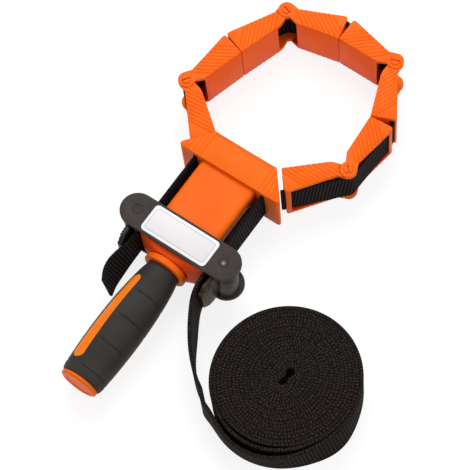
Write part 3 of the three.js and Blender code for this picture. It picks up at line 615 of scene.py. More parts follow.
@dataclass(frozen=True)
class PrintedLabel:
    """A bare off-white plate with one thin printed border line."""

    name: str
    centre: Point
    half: tuple[float, float]
    corner: float
    inset: float = 2.1 * MM
    line: float = 0.16 * MM
    line_fade: tuple[float, float] = (0.6, 1.6)
    line_share: float = 0.9
    rim: Colour = rgb(0.93, 0.91, 0.93)
    field: Colour = rgb(0.83, 0.79, 0.81)
    ink: Colour = rgb(0.36, 0.35, 0.40)
    roughness: float = 0.36
    uneven: float = 0.1
    grain: tuple[float, float] = (900.0, 2.0)
    relief: tuple[float, float] = (0.01 * MM, 0.3)

    def material(self) -> bpy.types.Material:
        """Builds the material.

        Returns:
            The finished material.
        """
        g = Graph(self.name)
        place = g.place()
        radius = self.corner - self.inset * 0.5
        ways = zip(g.parts(place), self.centre, self.half)
        past = (
            ((way - centre).size() - (half - self.inset - radius)).at_least(0.0) for way, centre, half in ways
        )
        away = g.length(*past) - radius
        line = 1.0 - away.size().rise(*(self.line * share for share in self.line_fade))
        base = g.blend(away.rise(-self.line, self.line), self.field, self.rim)
        grain = g.noise(place, *self.grain)
        return g.surface({
            "Base Color": g.blend(line * self.line_share, base, self.ink),
            "Roughness": grain * self.uneven + self.roughness,
            "Normal": g.bump(grain, *self.relief),
        })


@dataclass(frozen=True)
class Finishes:
    """Every finish of the clamp, built once."""

    orange: bpy.types.Material
    jaw: bpy.types.Material
    head: bpy.types.Material
    collar: bpy.types.Material
    housing: bpy.types.Material
    black: bpy.types.Material
    rubber: bpy.types.Material
    webbing: bpy.types.Material
    supply: bpy.types.Material
    warm_reflection_lacquer: bpy.types.Material
    gloss_black: bpy.types.Material
    steel: bpy.types.Material
    dimple: bpy.types.Material
    brass: bpy.types.Material

    @staticmethod
    def build() -> "Finishes":
        """Builds the finishes.

        Returns:
            The set of materials.
        """
        finishes = {
            "orange": MouldedPlastic("orange_plastic", *ORANGE),
            # The jaws and the head get painted shade on their groove floors and on the floor inside.
            "jaw": MouldedPlastic("jaw_plastic", *ORANGE, grooved_z=32.2 * MM),
            "head": MouldedPlastic(
                "head_plastic", rgb(1.0, 0.172, 0.008), rgb(0.96, 0.15, 0.005), roughness=0.5, gloss=0.1,
                grooved_z=33.0 * MM,
            ),
            # The inlays behind the change are a lighter second tone; the collar ahead of it is darker red,
            # partly its own colour and partly painted shade from the crossbar.
            "collar": TwoToneAndShadedPlastic(
                "collar_orange", rgb(1.0, 0.245, 0.012), rgb(1.0, 0.215, 0.01), change_y=-78.5 * MM,
                ahead=(rgb(0.97, 0.15, 0.006), rgb(0.92, 0.13, 0.005)),
            ),
            # Painted shade: the housing is darker red behind the change, where it runs under the crossbar.
            "housing": TwoToneAndShadedPlastic(
                "housing_orange", rgb(0.82, 0.078, 0.006), rgb(0.76, 0.068, 0.005), change_y=-66.5 * MM
            ),
            "black": CoatedSheet("coated_sheet", rgb(0.05, 0.042, 0.037), rgb(0.061, 0.051, 0.045)),
            "rubber": GripRubber("grip_rubber", rgb(0.032, 0.028, 0.025), rgb(0.042, 0.037, 0.032)),
            "webbing": WovenWebbing("woven_webbing", rgb(0.004, 0.0032, 0.003), rgb(0.042, 0.032, 0.029)),
            # The supply's ribs on the wall of the roll are darker: painted shade.
            "supply": WovenWebbing(
                "supply_webbing", rgb(0.0062, 0.0047, 0.0042), rgb(0.064, 0.049, 0.042),
                wall_shade_high=rgb(0.026, 0.016, 0.013),
            ),
            # The right lever's warm bronze tone is partly painted reflection of warm light in its dark
            # lacquer; its black hub is its own colour.
            "warm_reflection_lacquer": LacqueredCasting(
                "bronze_lacquer", rgb(0.026, 0.017, 0.009), rgb(0.092, 0.066, 0.036), hub_radius=8.9 * MM
            ),
            "gloss_black": LacqueredCasting(
                "black_lacquer", rgb(0.008, 0.007, 0.006), rgb(0.016, 0.014, 0.012), roughness=0.285,
                gloss=0.16,
            ),
            "steel": PlainSteel("bright_steel", rgb(0.4, 0.39, 0.38)),
            "dimple": PlainSteel("dimple_steel", rgb(0.15, 0.14, 0.14), roughness=0.5),
            "brass": PlainSteel("nut_brass", rgb(0.62, 0.44, 0.18), roughness=0.4),
        }
        return Finishes(**{key: finish.material() for key, finish in finishes.items()})


# Bench work with Blender's operators


class Bench:
    """Short ways to model by hand with Blender's operators.

    FLAT is the angle in degrees up to which faces count as one, and UPWARD how far up a face looks
    that is marked, from 0 to 1.
    """

    FLAT = 0.6
    UPWARD = 0.8

    @staticmethod
    def clear() -> None:
        """Deselects everything, in object mode."""
        if bpy.context.object is not None and bpy.context.object.mode != "OBJECT":
            bpy.ops.object.mode_set(mode="OBJECT")
        bpy.ops.object.select_all(action="DESELECT")

    @staticmethod
    def take(piece: bpy.types.Object) -> None:
        """Selects one piece alone and makes it active.

        Args:
            piece: The piece to select.
        """
        Bench.clear()
        piece.select_set(True)
        bpy.context.view_layer.objects.active = piece

    @staticmethod
    @contextmanager
    def editing(piece: bpy.types.Object) -> Iterator[None]:
        """Opens a piece in edit mode with all of it selected, and closes it again.

        Args:
            piece: The mesh to edit.
        """
        Bench.take(piece)
        bpy.ops.object.mode_set(mode="EDIT")
        bpy.ops.mesh.select_all(action="SELECT")
        yield
        bpy.ops.object.mode_set(mode="OBJECT")

    @staticmethod
    def finish_modifier(piece: bpy.types.Object, kind: str, **settings: object) -> None:
        """Adds a modifier, sets it and applies it.

        Args:
            piece: The mesh that gets it.
            kind: The modifier's type.
            settings: Its properties.
        """
        Bench.take(piece)
        made = piece.modifiers.new(kind.lower(), kind)
        for key, value in settings.items():
            setattr(made, key, value)
        bpy.ops.object.modifier_apply(modifier=made.name)

    @staticmethod
    def soften(piece: bpy.types.Object, width: float, steps: int, angle: float) -> None:
        """Rounds the sharp edges of a piece.

        Args:
            piece: The mesh to round.
            width: Width of the rounding in metres.
            steps: Faces across it.
            angle: Edges sharper than this many degrees are rounded.
        """
        Bench.finish_modifier(
            piece, "BEVEL", width=width, segments=steps, limit_method="ANGLE",
            angle_limit=math.radians(angle), use_clamp_overlap=True, miter_outer="MITER_ARC",
        )

    @staticmethod
    def smooth(piece: bpy.types.Object, angle: float) -> None:
        """Shades a piece smooth up to an angle in degrees."""
        Bench.take(piece)
        bpy.ops.object.shade_smooth_by_angle(angle=math.radians(angle))

    @staticmethod
    def mark_upward(piece: bpy.types.Object) -> None:
        """Gives a piece an attribute named upward, which is 1 on the faces that look up."""
        layer = piece.data.attributes.new("upward", "FLOAT", "FACE")
        layer.data.foreach_set("value", [float(face.normal.z > Bench.UPWARD) for face in piece.data.polygons])

    @staticmethod
    def settle(piece: bpy.types.Object) -> None:
        """Moves a piece's place into its mesh."""
        Bench.take(piece)
        bpy.ops.object.transform_apply(location=True, rotation=True, scale=True)

    @staticmethod
    def face_out(piece: bpy.types.Object) -> None:
        """Points all faces of a closed mesh outwards.

        Args:
            piece: The closed mesh.
        """
        with Bench.editing(piece):
            bpy.ops.mesh.remove_doubles(threshold=0.001 * MM)
            bpy.ops.mesh.normals_make_consistent(inside=False)

    @staticmethod
    def copy_of(frame: dict, node: str, name: str) -> bpy.types.Object:
        """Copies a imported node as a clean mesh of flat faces.

        Args:
            frame: The loaded frame.
            node: The node to copy.
            name: The new piece's name.

        Returns:
            The new piece.
        """
        source = frame["nodes"][node]
        piece = bpy.data.objects.new(name, source.data.copy())
        bpy.context.scene.collection.objects.link(piece)
        piece.data.materials.clear()
        with Bench.editing(piece):
            bpy.ops.mesh.remove_doubles(threshold=0.002 * MM)
            bpy.ops.mesh.dissolve_limited(angle_limit=math.radians(Bench.FLAT))
        return piece

    @staticmethod
    def turned(
        name: str, profile: Sequence[Ring], centre: Point, axis: Vector, steps: int
    ) -> bpy.types.Object:
        """Turns a closed body by extruding a disc from ring to ring.

        Args:
            name: The new piece's name.
            profile: Radius and place along the axis of each ring, both ends closed by a disc.
            centre: The point from which places along the axis are counted.
            axis: The direction of the axis.
            steps: Corners of each ring.

        Returns:
            The new piece.
        """
        Bench.clear()
        axis = axis.normalized()
        first = Vector(centre) + axis * profile[0][1]
        turn = axis.to_track_quat("Z", "Y").to_euler()
        bpy.ops.mesh.primitive_circle_add(
            vertices=steps, radius=profile[0][0], fill_type="NGON", location=first, rotation=turn
        )
        piece = bpy.context.object
        piece.name = name
        Bench.settle(piece)
        with Bench.editing(piece):
            for (r0, y0), (r1, y1) in zip(profile, profile[1:]):
                bpy.ops.mesh.extrude_region_move(TRANSFORM_OT_translate={"value": axis * (y1 - y0)})
                here = Vector(centre) + axis * y1
                scale = r1 / r0
                bpy.ops.transform.resize(value=(scale, scale, scale), center_override=here)
        Bench.face_out(piece)
        return piece

    @staticmethod
    def carve(piece: bpy.types.Object, tool: bpy.types.Object, operation: str = "DIFFERENCE") -> None:
        """Cuts or keeps a piece by a tool, and removes the tool.

        Args:
            piece: The mesh to change.
            tool: A closed mesh.
            operation: DIFFERENCE, INTERSECT or UNION.
        """
        Bench.finish_modifier(piece, "BOOLEAN", object=tool, operation=operation, solver="EXACT")
        bpy.data.objects.remove(tool, do_unlink=True)


def dress(piece: bpy.types.Object, material: bpy.types.Material) -> None:
    """Gives a piece its one material."""
    piece.data.materials.clear()
    piece.data.materials.append(material)


def seat(piece: bpy.types.Object, body: str, slot: str, *nodes: str) -> None:
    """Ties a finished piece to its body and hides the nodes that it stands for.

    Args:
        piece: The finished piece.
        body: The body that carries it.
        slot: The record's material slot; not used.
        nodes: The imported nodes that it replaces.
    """
    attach(piece, body)
    if nodes:
        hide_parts(*nodes)
    LOG.info("%s rides on %s: %d faces", piece.name, body, len(piece.data.polygons))


@dataclass(frozen=True)
class MouldedNode:
    """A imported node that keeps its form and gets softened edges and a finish.

    The edge's width is in millimetres, steps are the faces across it, and edges sharper than angle get
    it. smooth is the angle up to which faces are shaded as one. Angles are in degrees.
    """

    node: str
    body: str
    slot: str
    edge: float = 0.35
    steps: int = 2
    angle: float = 32.0
    smooth: float = 38.0

    def build(self, frame: dict, material: bpy.types.Material) -> bpy.types.Object:
        """Builds the piece.

        Args:
            frame: The loaded frame.
            material: Its finish.

        Returns:
            The piece, riding on its body.
        """
        piece = Bench.copy_of(frame, self.node, f"{self.node}_fine")
        if self.edge > 0.0:
            Bench.soften(piece, self.edge * MM, self.steps, self.angle)
        Bench.smooth(piece, self.smooth)
        Bench.mark_upward(piece)
        dress(piece, material)
        seat(piece, self.body, self.slot, self.node)
        return piece


# Lines in space


def smooth_line(points: Sequence[Point], step: float) -> list[Vector]:
    """Draws an even line of points along a centripetal spline.

    Args:
        points: Points that the line passes, in metres.
        step: The distance between the new points.

    Returns:
        The evenly spaced points.
    """
    finer = 4
    knots = [Vector(p) for p in points]
    padded = [knots[0] * 2 - knots[1], *knots, knots[-1] * 2 - knots[-2]]
    dense: list[Vector] = []
    for p0, p1, p2, p3 in zip(padded, padded[1:], padded[2:], padded[3:]):
        t0 = 0.0
        t1 = math.sqrt((p1 - p0).length)
        t2 = t1 + math.sqrt((p2 - p1).length)
        t3 = t2 + math.sqrt((p3 - p2).length)
        count = max(finer, round((p2 - p1).length / step * finer))
        for i in range(count):
            t = t1 + (t2 - t1) * i / count
            a1 = p0 * ((t1 - t) / (t1 - t0)) + p1 * ((t - t0) / (t1 - t0))
            a2 = p1 * ((t2 - t) / (t2 - t1)) + p2 * ((t - t1) / (t2 - t1))
            a3 = p2 * ((t3 - t) / (t3 - t2)) + p3 * ((t - t2) / (t3 - t2))
            b1 = a1 * ((t2 - t) / (t2 - t0)) + a2 * ((t - t0) / (t2 - t0))
            b2 = a2 * ((t3 - t) / (t3 - t1)) + a3 * ((t - t1) / (t3 - t1))
            dense.append(b1 * ((t2 - t) / (t2 - t1)) + b2 * ((t - t1) / (t2 - t1)))
    dense.append(knots[-1])
    return even(dense, step)


def even(points: Sequence[Vector], step: float) -> list[Vector]:
    """Spaces points evenly along the line through them.

    Args:
        points: The line's points.
        step: The distance wanted between points.

    Returns:
        The spaced points, with both ends kept.
    """
    slack = 1e-12
    total = length_of(points)
    count = max(2, round(total / step))
    gap = total / count
    spaced = [points[0].copy()]
    walked, wanted = 0.0, gap
    for a, b in zip(points, points[1:]):
        run = (b - a).length
        while run > 0 and walked + run >= wanted - slack and len(spaced) < count:
            spaced.append(a.lerp(b, (wanted - walked) / run))
            wanted += gap
        walked += run
    spaced.append(points[-1].copy())
    return spaced


def length_of(line: Sequence[Vector]) -> float:
    """Gives the length of the line through some points."""
    return sum((b - a).length for a, b in zip(line, line[1:]))


def heading(line: Sequence[Vector], i: int) -> Vector:
    """Gives the direction of a line at one of its points."""
    return (line[min(i + 1, len(line) - 1)] - line[max(i - 1, 0)]).normalized()


def around(angle: float, radius: float = 1.0, z: float = 0.0) -> Vector:
    """Gives a point round the origin, at an angle in radians from +X."""
    return Vector((radius * math.cos(angle), radius * math.sin(angle), z))


# Webbing


@dataclass
class Webbing:
    """A stretch of the 25 mm strap, standing on edge along a line. Lengths are in metres."""

    width: float = 25.0 * MM
    thickness: float = 1.6 * MM
    edge_step: float = 0.75 * MM
    selvedge: float = 0.16 * MM
    crest_share: float = 0.45
    crown: float = 0.6 * MM
    rows: int = 4
    smooth: float = 60.0

    def build(
        self, name: str, low: Sequence[Vector], high: Sequence[Vector], material: bpy.types.Material,
        lean: float = 1.0,
    ) -> bpy.types.Object:
        """Builds the stretch between its bottom edge line and its top edge line.

        Args:
            name: The piece's name.
            low: Points of the bottom edge.
            high: Points of the top edge, one for each point of the bottom edge.
            material: The webbing's finish.
            lean: How far the ribs lean, and to which side; 1 is the usual lean.

        Returns:
            The closed strip, with a map named strip that holds metres along and across it.
        """
        section = self._section()
        vertices: list[Vector] = []
        ways: list[tuple[float, float]] = []
        along = 0.0
        for i, (a, b) in enumerate(zip(low, high)):
            up = b - a
            side = heading(low, i).cross(up).normalized()
            notch = up.normalized() * (0.0 if i % 2 else self.selvedge)
            if i:
                along += ((low[i] - low[i - 1]).length + (high[i] - high[i - 1]).length) / 2
            for offset, share in section:
                inward = {0.0: 1.0, 1.0: -1.0}.get(share, 0.0)
                swell = offset + abs(inward) * math.copysign(self.selvedge / 2, offset)
                vertices.append(a + up * share + side * swell + notch * inward)
                crown = self.crown if inward and abs(offset) < self.thickness / 4 else 0.0
                ways.append((along, (share * self.width + math.copysign(crown, share - 0.5)) * lean))
        mesh = bpy.data.meshes.new(name)
        mesh.from_pydata(vertices, [], self._faces(len(section), len(low)))
        layer = mesh.uv_layers.new(name="strip")
        for loop in mesh.loops:
            layer.data[loop.index].uv = ways[loop.vertex_index]
        piece = bpy.data.objects.new(name, mesh)
        bpy.context.scene.collection.objects.link(piece)
        with Bench.editing(piece):
            bpy.ops.mesh.normals_make_consistent(inside=False)
        Bench.smooth(piece, self.smooth)
        dress(piece, material)
        return piece

    def _section(self) -> list[tuple[float, float]]:
        """Gives the corners of the cross section.

        Returns:
            Metres off the middle and the share of the width, for each corner.
        """
        half = self.thickness / 2
        crest = half * self.crest_share
        rows = [i / self.rows for i in range(self.rows + 1)]
        one_side = [(-half, share) for share in rows] + [(-crest, 1.0), (crest, 1.0)]
        return one_side + [(half, share) for share in reversed(rows)] + [(crest, 0.0), (-crest, 0.0)]

    def _faces(self, corners: int, rows: int) -> list[tuple[int, ...]]:
        """Joins the corners of a row of cross sections.

        Args:
            corners: The corners of each section.
            rows: How many sections there are.

        Returns:
            The faces round the stretch and the two at its ends.
        """
        faces: list[tuple[int, ...]] = []
        for start in range(0, (rows - 1) * corners, corners):
            for k in range(corners):
                here, beside = start + k, start + (k + 1) % corners
                faces.append((here, beside, beside + corners, here + corners))
        faces.append(tuple(reversed(range(corners))))
        faces.append(tuple(range((rows - 1) * corners, rows * corners)))
        return faces

    def upright(self, name: str, line: Sequence[Vector], material: bpy.types.Material) -> bpy.types.Object:
        """Builds a stretch that stands upright round its centre line.

        Args:
            name: The piece's name.
            line: The centre line.
            material: The webbing's finish.

        Returns:
            The stretch.
        """
        rise = Vector((0.0, 0.0, self.width / 2))
        return self.build(name, [p - rise for p in line], [p + rise for p in line], material)


@dataclass
class StrapRoll:
    """The wound supply of the strap and the free stretch that leads to it.

    Lengths are in metres and angles in degrees. The turns are counted from the outer end. The oval and
    the core slot bring the winding off its circle, loose lets the outer end stand off, splay and lean
    move the bottom edge of the outer turn and the free stretch, and flare the top edge of the outer turns.
    """

    centre: Point = mm(100.1, -95.5, 12.5)
    radius: float = 44.9 * MM
    pitch: float = 2.15 * MM
    thickness: float = 2.1 * MM
    turns: float = 19.15
    turn_points: int = 400
    end_angle: float = -112.0
    oval: float = 0.76 * MM
    oval_turn: float = 77.0
    slot: float = 2.3 * MM
    slot_turn: float = 90.0
    slot_shift: Point = mm(0.0, 1.0, 0.0)
    settled: float = 0.5
    loose: float = 1.1 * MM
    loose_turns: float = 0.46
    lead: float = 8.0 * MM
    flutter: float = 0.07 * MM
    flutter_waves: tuple[float, float] = (3.0, 1.7)
    lift: float = 0.3 * MM
    lift_wave: float = 2.3
    selvedge: float = 0.1 * MM
    lean: float = 2.2 * MM
    lean_ends: tuple[float, float, float] = (0.12, 0.4, 0.8)
    splay: float = 2.2 * MM
    splay_turn: float = 0.365
    splay_spread: float = 0.055
    flare: float = 3.5 * MM
    flare_angle: float = -76.0
    flare_half: float = 56.0
    flare_turns: float = 2.0
    flat: tuple[float, float] = (0.025, 3.053)
    route: tuple[Point, ...] = (
        mm(24.4, -70.4, 16.4), mm(24.5, -74.5, 16.1), mm(25.2, -79.5, 15.4), mm(26.9, -85.0, 14.6),
        mm(29.9, -91.0, 13.9), mm(33.9, -97.7, 13.3), mm(38.8, -104.8, 12.9), mm(44.6, -112.0, 12.6),
        mm(51.1, -118.6, 12.5), mm(57.6, -124.2, 12.5), mm(63.8, -128.3, 12.5),
    )

    def spiral(self, share: float) -> Vector:
        """Gives a point of the winding.

        Args:
            share: The share of the turns from the outer end.

        Returns:
            The point of the centre line.
        """
        wound = self.turns * share
        angle = math.radians(self.end_angle + 360.0 * wound)
        settle = min(1.0, wound / self.settled)
        waves, drift = self.flutter_waves
        r = self.radius - self.pitch * wound
        r += self.oval * math.cos(2.0 * (angle - math.radians(self.oval_turn)))
        r += self.slot * share * share * math.cos(2.0 * (angle - math.radians(self.slot_turn)))
        r += self.flutter * settle * math.sin(waves * angle + drift * wound)
        r += self.loose * (0.5 + 0.5 * math.cos(math.pi * min(1.0, wound / self.loose_turns)))
        rise = self.lift * settle * max(0.0, math.sin(self.lift_wave * wound + math.sin(angle)))
        return Vector(self.centre) + Vector(self.slot_shift) * share + around(angle, r, rise)

    def line(self, step: float) -> list[Vector]:
        """Gives the centre line from the cam to the inner end.

        Args:
            step: The distance between points.

        Returns:
            The points in metres.
        """
        ahead = around(math.radians(self.end_angle + 90.0))
        joint = self.spiral(0.0) - ahead * self.lead
        before = joint - ahead * self.lead
        free = smooth_line([*self.route, tuple(before), tuple(joint)], step)
        fine = int(self.turns * self.turn_points)
        winding = [self.spiral(i / fine) for i in range(fine + 1)]
        return even([*free, *winding], step)

    def lean_at(self, way: float) -> float:
        """Gives how far the bottom edge of the free stretch stands inwards.

        Args:
            way: The share of the free stretch from the cam.

        Returns:
            The distance in metres.
        """
        rise, hold, end = self.lean_ends
        t = way / rise if way < rise else 1.0 - max(0.0, way - hold) / (end - hold)
        t = min(1.0, max(0.0, t))
        return self.lean * t * t * (3.0 - 2.0 * t)

    def flare_at(self, point: Vector, wound: float) -> Vector:
        """Gives how far the top edge of a loose outer turn stands outwards.

        Args:
            point: A point of the centre line.
            wound: Turns from the outer end.

        Returns:
            The shift of the top edge.
        """
        out = (point - Vector(self.centre)).xy.to_3d()
        off = math.degrees(math.atan2(out.y, out.x)) - self.flare_angle
        if abs(off) >= self.flare_half or wound >= self.flare_turns:
            return Vector()
        share = math.cos(0.5 * math.pi * off / self.flare_half) ** 2
        return out.normalized() * self.flare * share * (1.0 - max(0.0, wound) / self.flare_turns)

    def build(self, material: bpy.types.Material) -> bpy.types.Object:
        """Builds the free stretch and the roll as one strip.

        Args:
            material: The webbing's finish.

        Returns:
            The strip.
        """
        strap = Webbing(thickness=self.thickness, selvedge=self.selvedge)
        line = self.line(strap.edge_step)
        LOG.info("free strap and roll: %.3f m", length_of(line))
        free = math.dist(self.route[0], self.route[-1]) / strap.edge_step
        turn = 2.0 * math.pi * self.radius / strap.edge_step
        up = Vector((0.0, 0.0, strap.width / 2))
        low, high = [], []
        for i, point in enumerate(line):
            wound = (i - free) / turn
            high.append(point + up + self.flare_at(point, wound))
            off = (wound - self.splay_turn) / self.splay_spread
            shift = self.splay * math.exp(-off * off) - self.lean_at(i / free)
            low.append(point - up + heading(line, i).cross(up).normalized() * shift)
        piece = strap.build("strap_supply", low, high, material)
        mm(54.0, -100.0, 12.5)
        mm(26.0, -100.0, 12.5)
        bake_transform(piece)
        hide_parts("strap_free", "strap_roll")
        return piece


@dataclass
class StrapTail:
    """The short end of the strap behind the left cam, which leans outwards and curls in.

    The edges are in millimetres in plan. The tail leaves the cam above the floor by the drop, which ends
    over the shares of its length that fall_from and fall_run give.
    """

    length: float = 0.058
    drop: float = 4.0
    fall_from: float = 0.24
    fall_run: float = 0.48
    bottom: tuple[tuple[float, float], ...] = (
        (-24.4, -48.4), (-24.4, -58.6), (-24.5, -66.0), (-24.7, -72.0), (-24.9, -78.6), (-24.9, -85.5),
        (-24.7, -91.5), (-24.1, -97.5), (-22.5, -103.6),
    )
    top: tuple[tuple[float, float], ...] = (
        (-24.4, -48.4), (-24.4, -58.6), (-24.6, -66.0), (-25.2, -72.0), (-26.0, -78.6), (-28.0, -85.5),
        (-28.9, -92.0), (-27.6, -98.6), (-24.0, -105.1),
    )

    def build(self, strap: Webbing, material: bpy.types.Material) -> bpy.types.Object:
        """Builds the tail.

        Args:
            strap: The webbing's section.
            material: The webbing's finish.

        Returns:
            The strip.
        """
        routes = ([mm(x, y, 0.0) for x, y in route] for route in (self.bottom, self.top))
        edges = [smooth_line(route, strap.edge_step) for route in routes]
        last = min(len(edge) for edge in edges) - 1
        low, high = ([edge[round(i * (len(edge) - 1) / last)] for i in range(last + 1)] for edge in edges)
        for i in range(last + 1):
            fall = max(0.0, (i / last - self.fall_from) / self.fall_run)
            base = self.drop * MM * max(0.0, 1.0 - fall)
            low[i].z, high[i].z = base, base + strap.width
        piece = strap.build("strap_short_end", low, high, material, -1.0)
        seat(piece, "crossbar", "webbing", "strap_tail_left")
        return piece


@dataclass
class StrapStretches:
    """The stretches of the strap that the clamp holds: beside the box, in the head and in the jaws.

    Lengths are in millimetres, and run_shares are shares of the way from an arm's end to its hinge.
    """

    line_x: float = 24.4
    head_back: float = -9.5
    plate_edge: float = -47.8
    plate_gap: float = 0.3
    cam_end: float = -70.1
    axis: float = 16.5
    squash_keep: float = 0.38
    hinge_offsets: tuple[float, ...] = (2.4, 0.6, 1.0, 3.2)
    end_offset: float = 6.8
    bend_steps: int = 6
    bend_half: float = 9.0
    run_shares: tuple[float, ...] = (0.0, 0.3, 0.6, 0.88)
    outer_gap: float = 0.15
    join_gap: float = 0.32
    jaws: int = 4

    def build(self, frame: dict, strap: Webbing, material: bpy.types.Material) -> None:
        """Builds every held stretch.

        Args:
            frame: The loaded frame.
            strap: The webbing's section.
            material: The webbing's finish.
        """
        for side in Side:
            self._beside_box(side, strap, material)
            self._in_head(frame, side, strap, material)
        clamped = self._straight(self.line_x, self.cam_end, self.plate_edge - self.plate_gap, strap)
        piece = strap.upright("strap_in_cam_right", clamped, material)
        seat(piece, "crossbar", "webbing", "strap_clamped_right")
        for number in range(1, self.jaws + 1):
            self._in_jaw(frame, number, strap, material)

    def _straight(self, x: float, y0: float, y1: float, strap: Webbing) -> list[Vector]:
        """Gives a straight line beside the box, in metres."""
        return even([Vector(mm(x, y, self.axis)) for y in (y0, y1)], strap.edge_step)

    def _beside_box(self, side: Side, strap: Webbing, material: bpy.types.Material) -> None:
        """Builds the stretch between the crossbar and the head on one side.

        Args:
            side: The side of the box.
            strap: The webbing's section.
            material: The webbing's finish.
        """
        name = side.name.lower()
        line = self._straight(side.value * self.line_x, self.plate_edge, self.head_back, strap)
        piece = strap.upright(f"strap_beside_box_{name}", line, material)
        anchor = mm(side.value * self.line_x, self.head_back, self.axis)
        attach(piece, "frame")
        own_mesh(piece)
        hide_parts(f"strap_side_{name}")

    def _in_head(self, frame: dict, side: Side, strap: Webbing, material: bpy.types.Material) -> None:
        """Builds the curved stretch in one wing of the head, through the middle of its node.

        Args:
            frame: The loaded frame.
            side: The wing.
            strap: The webbing's section.
            material: The webbing's finish.
        """
        name = side.name.lower()
        node = f"strap_in_head_{name}"
        line = smooth_line(self._centre_line(frame["nodes"][node], strap), strap.edge_step)
        piece = strap.upright(f"strap_through_head_{name}", line, material)
        seat(piece, "frame", "webbing", node)

    def _corners(self, node: bpy.types.Object, above: float = -1.0) -> set[tuple[float, float]]:
        """Gives the places in plan of a node's corners above a height."""
        return {(round(v.co.x, 6), round(v.co.y, 6)) for v in node.data.vertices if v.co.z > above}

    def _centre_line(self, node: bpy.types.Object, strap: Webbing) -> list[Point]:
        """Finds the centre line of a band node from the pairs of corners at its top.

        Args:
            node: A node made as an upright band.
            strap: The webbing's section.

        Returns:
            The middle of each pair, from the back to the front.
        """
        top = max(v.co.z for v in node.data.vertices)
        left = sorted(self._corners(node, top - 0.01 * MM), key=lambda c: c[1])
        middles = []
        while len(left) > 1:
            first = left.pop(0)
            mate = min(left, key=lambda c: math.dist(c, first))
            left.remove(mate)
            middles.append(((first[0] + mate[0]) / 2, (first[1] + mate[1]) / 2, top - strap.width / 2))
        return middles

    def _in_jaw(self, frame: dict, number: int, strap: Webbing, material: bpy.types.Material) -> None:
        """Builds the stretch through both arms of one jaw, bent round its hinge.

        Args:
            frame: The loaded frame.
            number: The jaw's number from the left.
            strap: The webbing's section.
            material: The webbing's finish.
        """
        first, second = (f"jaw_{number}_arm_{letter}_body" for letter in "ab")
        pivot = self._pivot(frame, second)
        offset = self.hinge_offsets[number - 1] * MM
        ends = [self._far_end(frame, number, letter) for letter in "ab"]
        turns = []
        for side, end in zip((1.0, -1.0), ends):
            arm = end - pivot
            way = math.atan2(arm.y, arm.x) + side * math.asin(self.end_offset * MM / arm.length)
            turns.append(way - side * math.pi / 2)
        sweep = (turns[1] - turns[0]) % (2.0 * math.pi) - 2.0 * math.pi
        bend = [turns[0] + sweep * i / self.bend_steps for i in range(1, self.bend_steps)]
        elbows, arc = ([pivot + around(t, offset).xy for t in row] for row in (turns, bend))
        runs = []
        for letter, end, elbow in zip("ab", ends, elbows):
            tip = self._tip(frame, number, letter, end)
            runs.append([tip, *(end.lerp(elbow, share) for share in self.run_shares)])
        z = self.axis * MM
        plan = [*runs[0], *arc, *reversed(runs[1])]
        line = smooth_line([(p.x, p.y, z) for p in plan], strap.edge_step)
        piece = strap.upright(f"strap_in_jaw_{number}", line, material)
        half = (ends[1] - ends[0]).normalized() * self.bend_half * MM
        middle = arc[len(arc) // 2]
        start, end = middle - half, middle + half
        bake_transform(piece)
        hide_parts(*(f"jaw_{number}_strap_{letter}" for letter in "ab"))

    def _pivot(self, frame: dict, body: str) -> Vector:
        """Gives the place in plan of the hinge that carries a body."""
        hinge = next(j for j in frame["joints"] if j["child"] == body)
        return Vector((hinge["pos_m"][0], hinge["pos_m"][1]))

    def _far_end(self, frame: dict, number: int, letter: str) -> Vector:
        """Finds the end of an arm's strap that is away from its hinge.

        Args:
            frame: The loaded frame.
            number: The jaw's number from the left.
            letter: The arm's letter.

        Returns:
            The middle of the end in plan.
        """
        pivot = self._pivot(frame, f"jaw_{number}_arm_b_body")
        corners = self._corners(frame["nodes"][f"jaw_{number}_strap_{letter}"])
        last = sorted((Vector(c) for c in corners), key=lambda c: (c - pivot).length)[-2:]
        return (last[0] + last[1]) / 2

    def _tip(self, frame: dict, number: int, letter: str, end: Vector) -> Vector:
        """Moves a strap's end to the middle of the gap that it shares with the next jaw's strap.

        Args:
            frame: The loaded frame.
            number: The jaw's number from the left.
            letter: The arm's letter.
            end: The middle of the end in plan.

        Returns:
            The moved end.
        """
        other = number - 1 if letter == "a" else number + 1
        if not 1 <= other <= self.jaws:
            pivot = self._pivot(frame, f"jaw_{number}_arm_b_body")
            return end + (end - pivot).normalized() * self.outer_gap * MM
        way = self._far_end(frame, other, "b" if letter == "a" else "a") - end
        return end + way * max(0.0, 0.5 - self.join_gap * MM / way.length)


# Handle


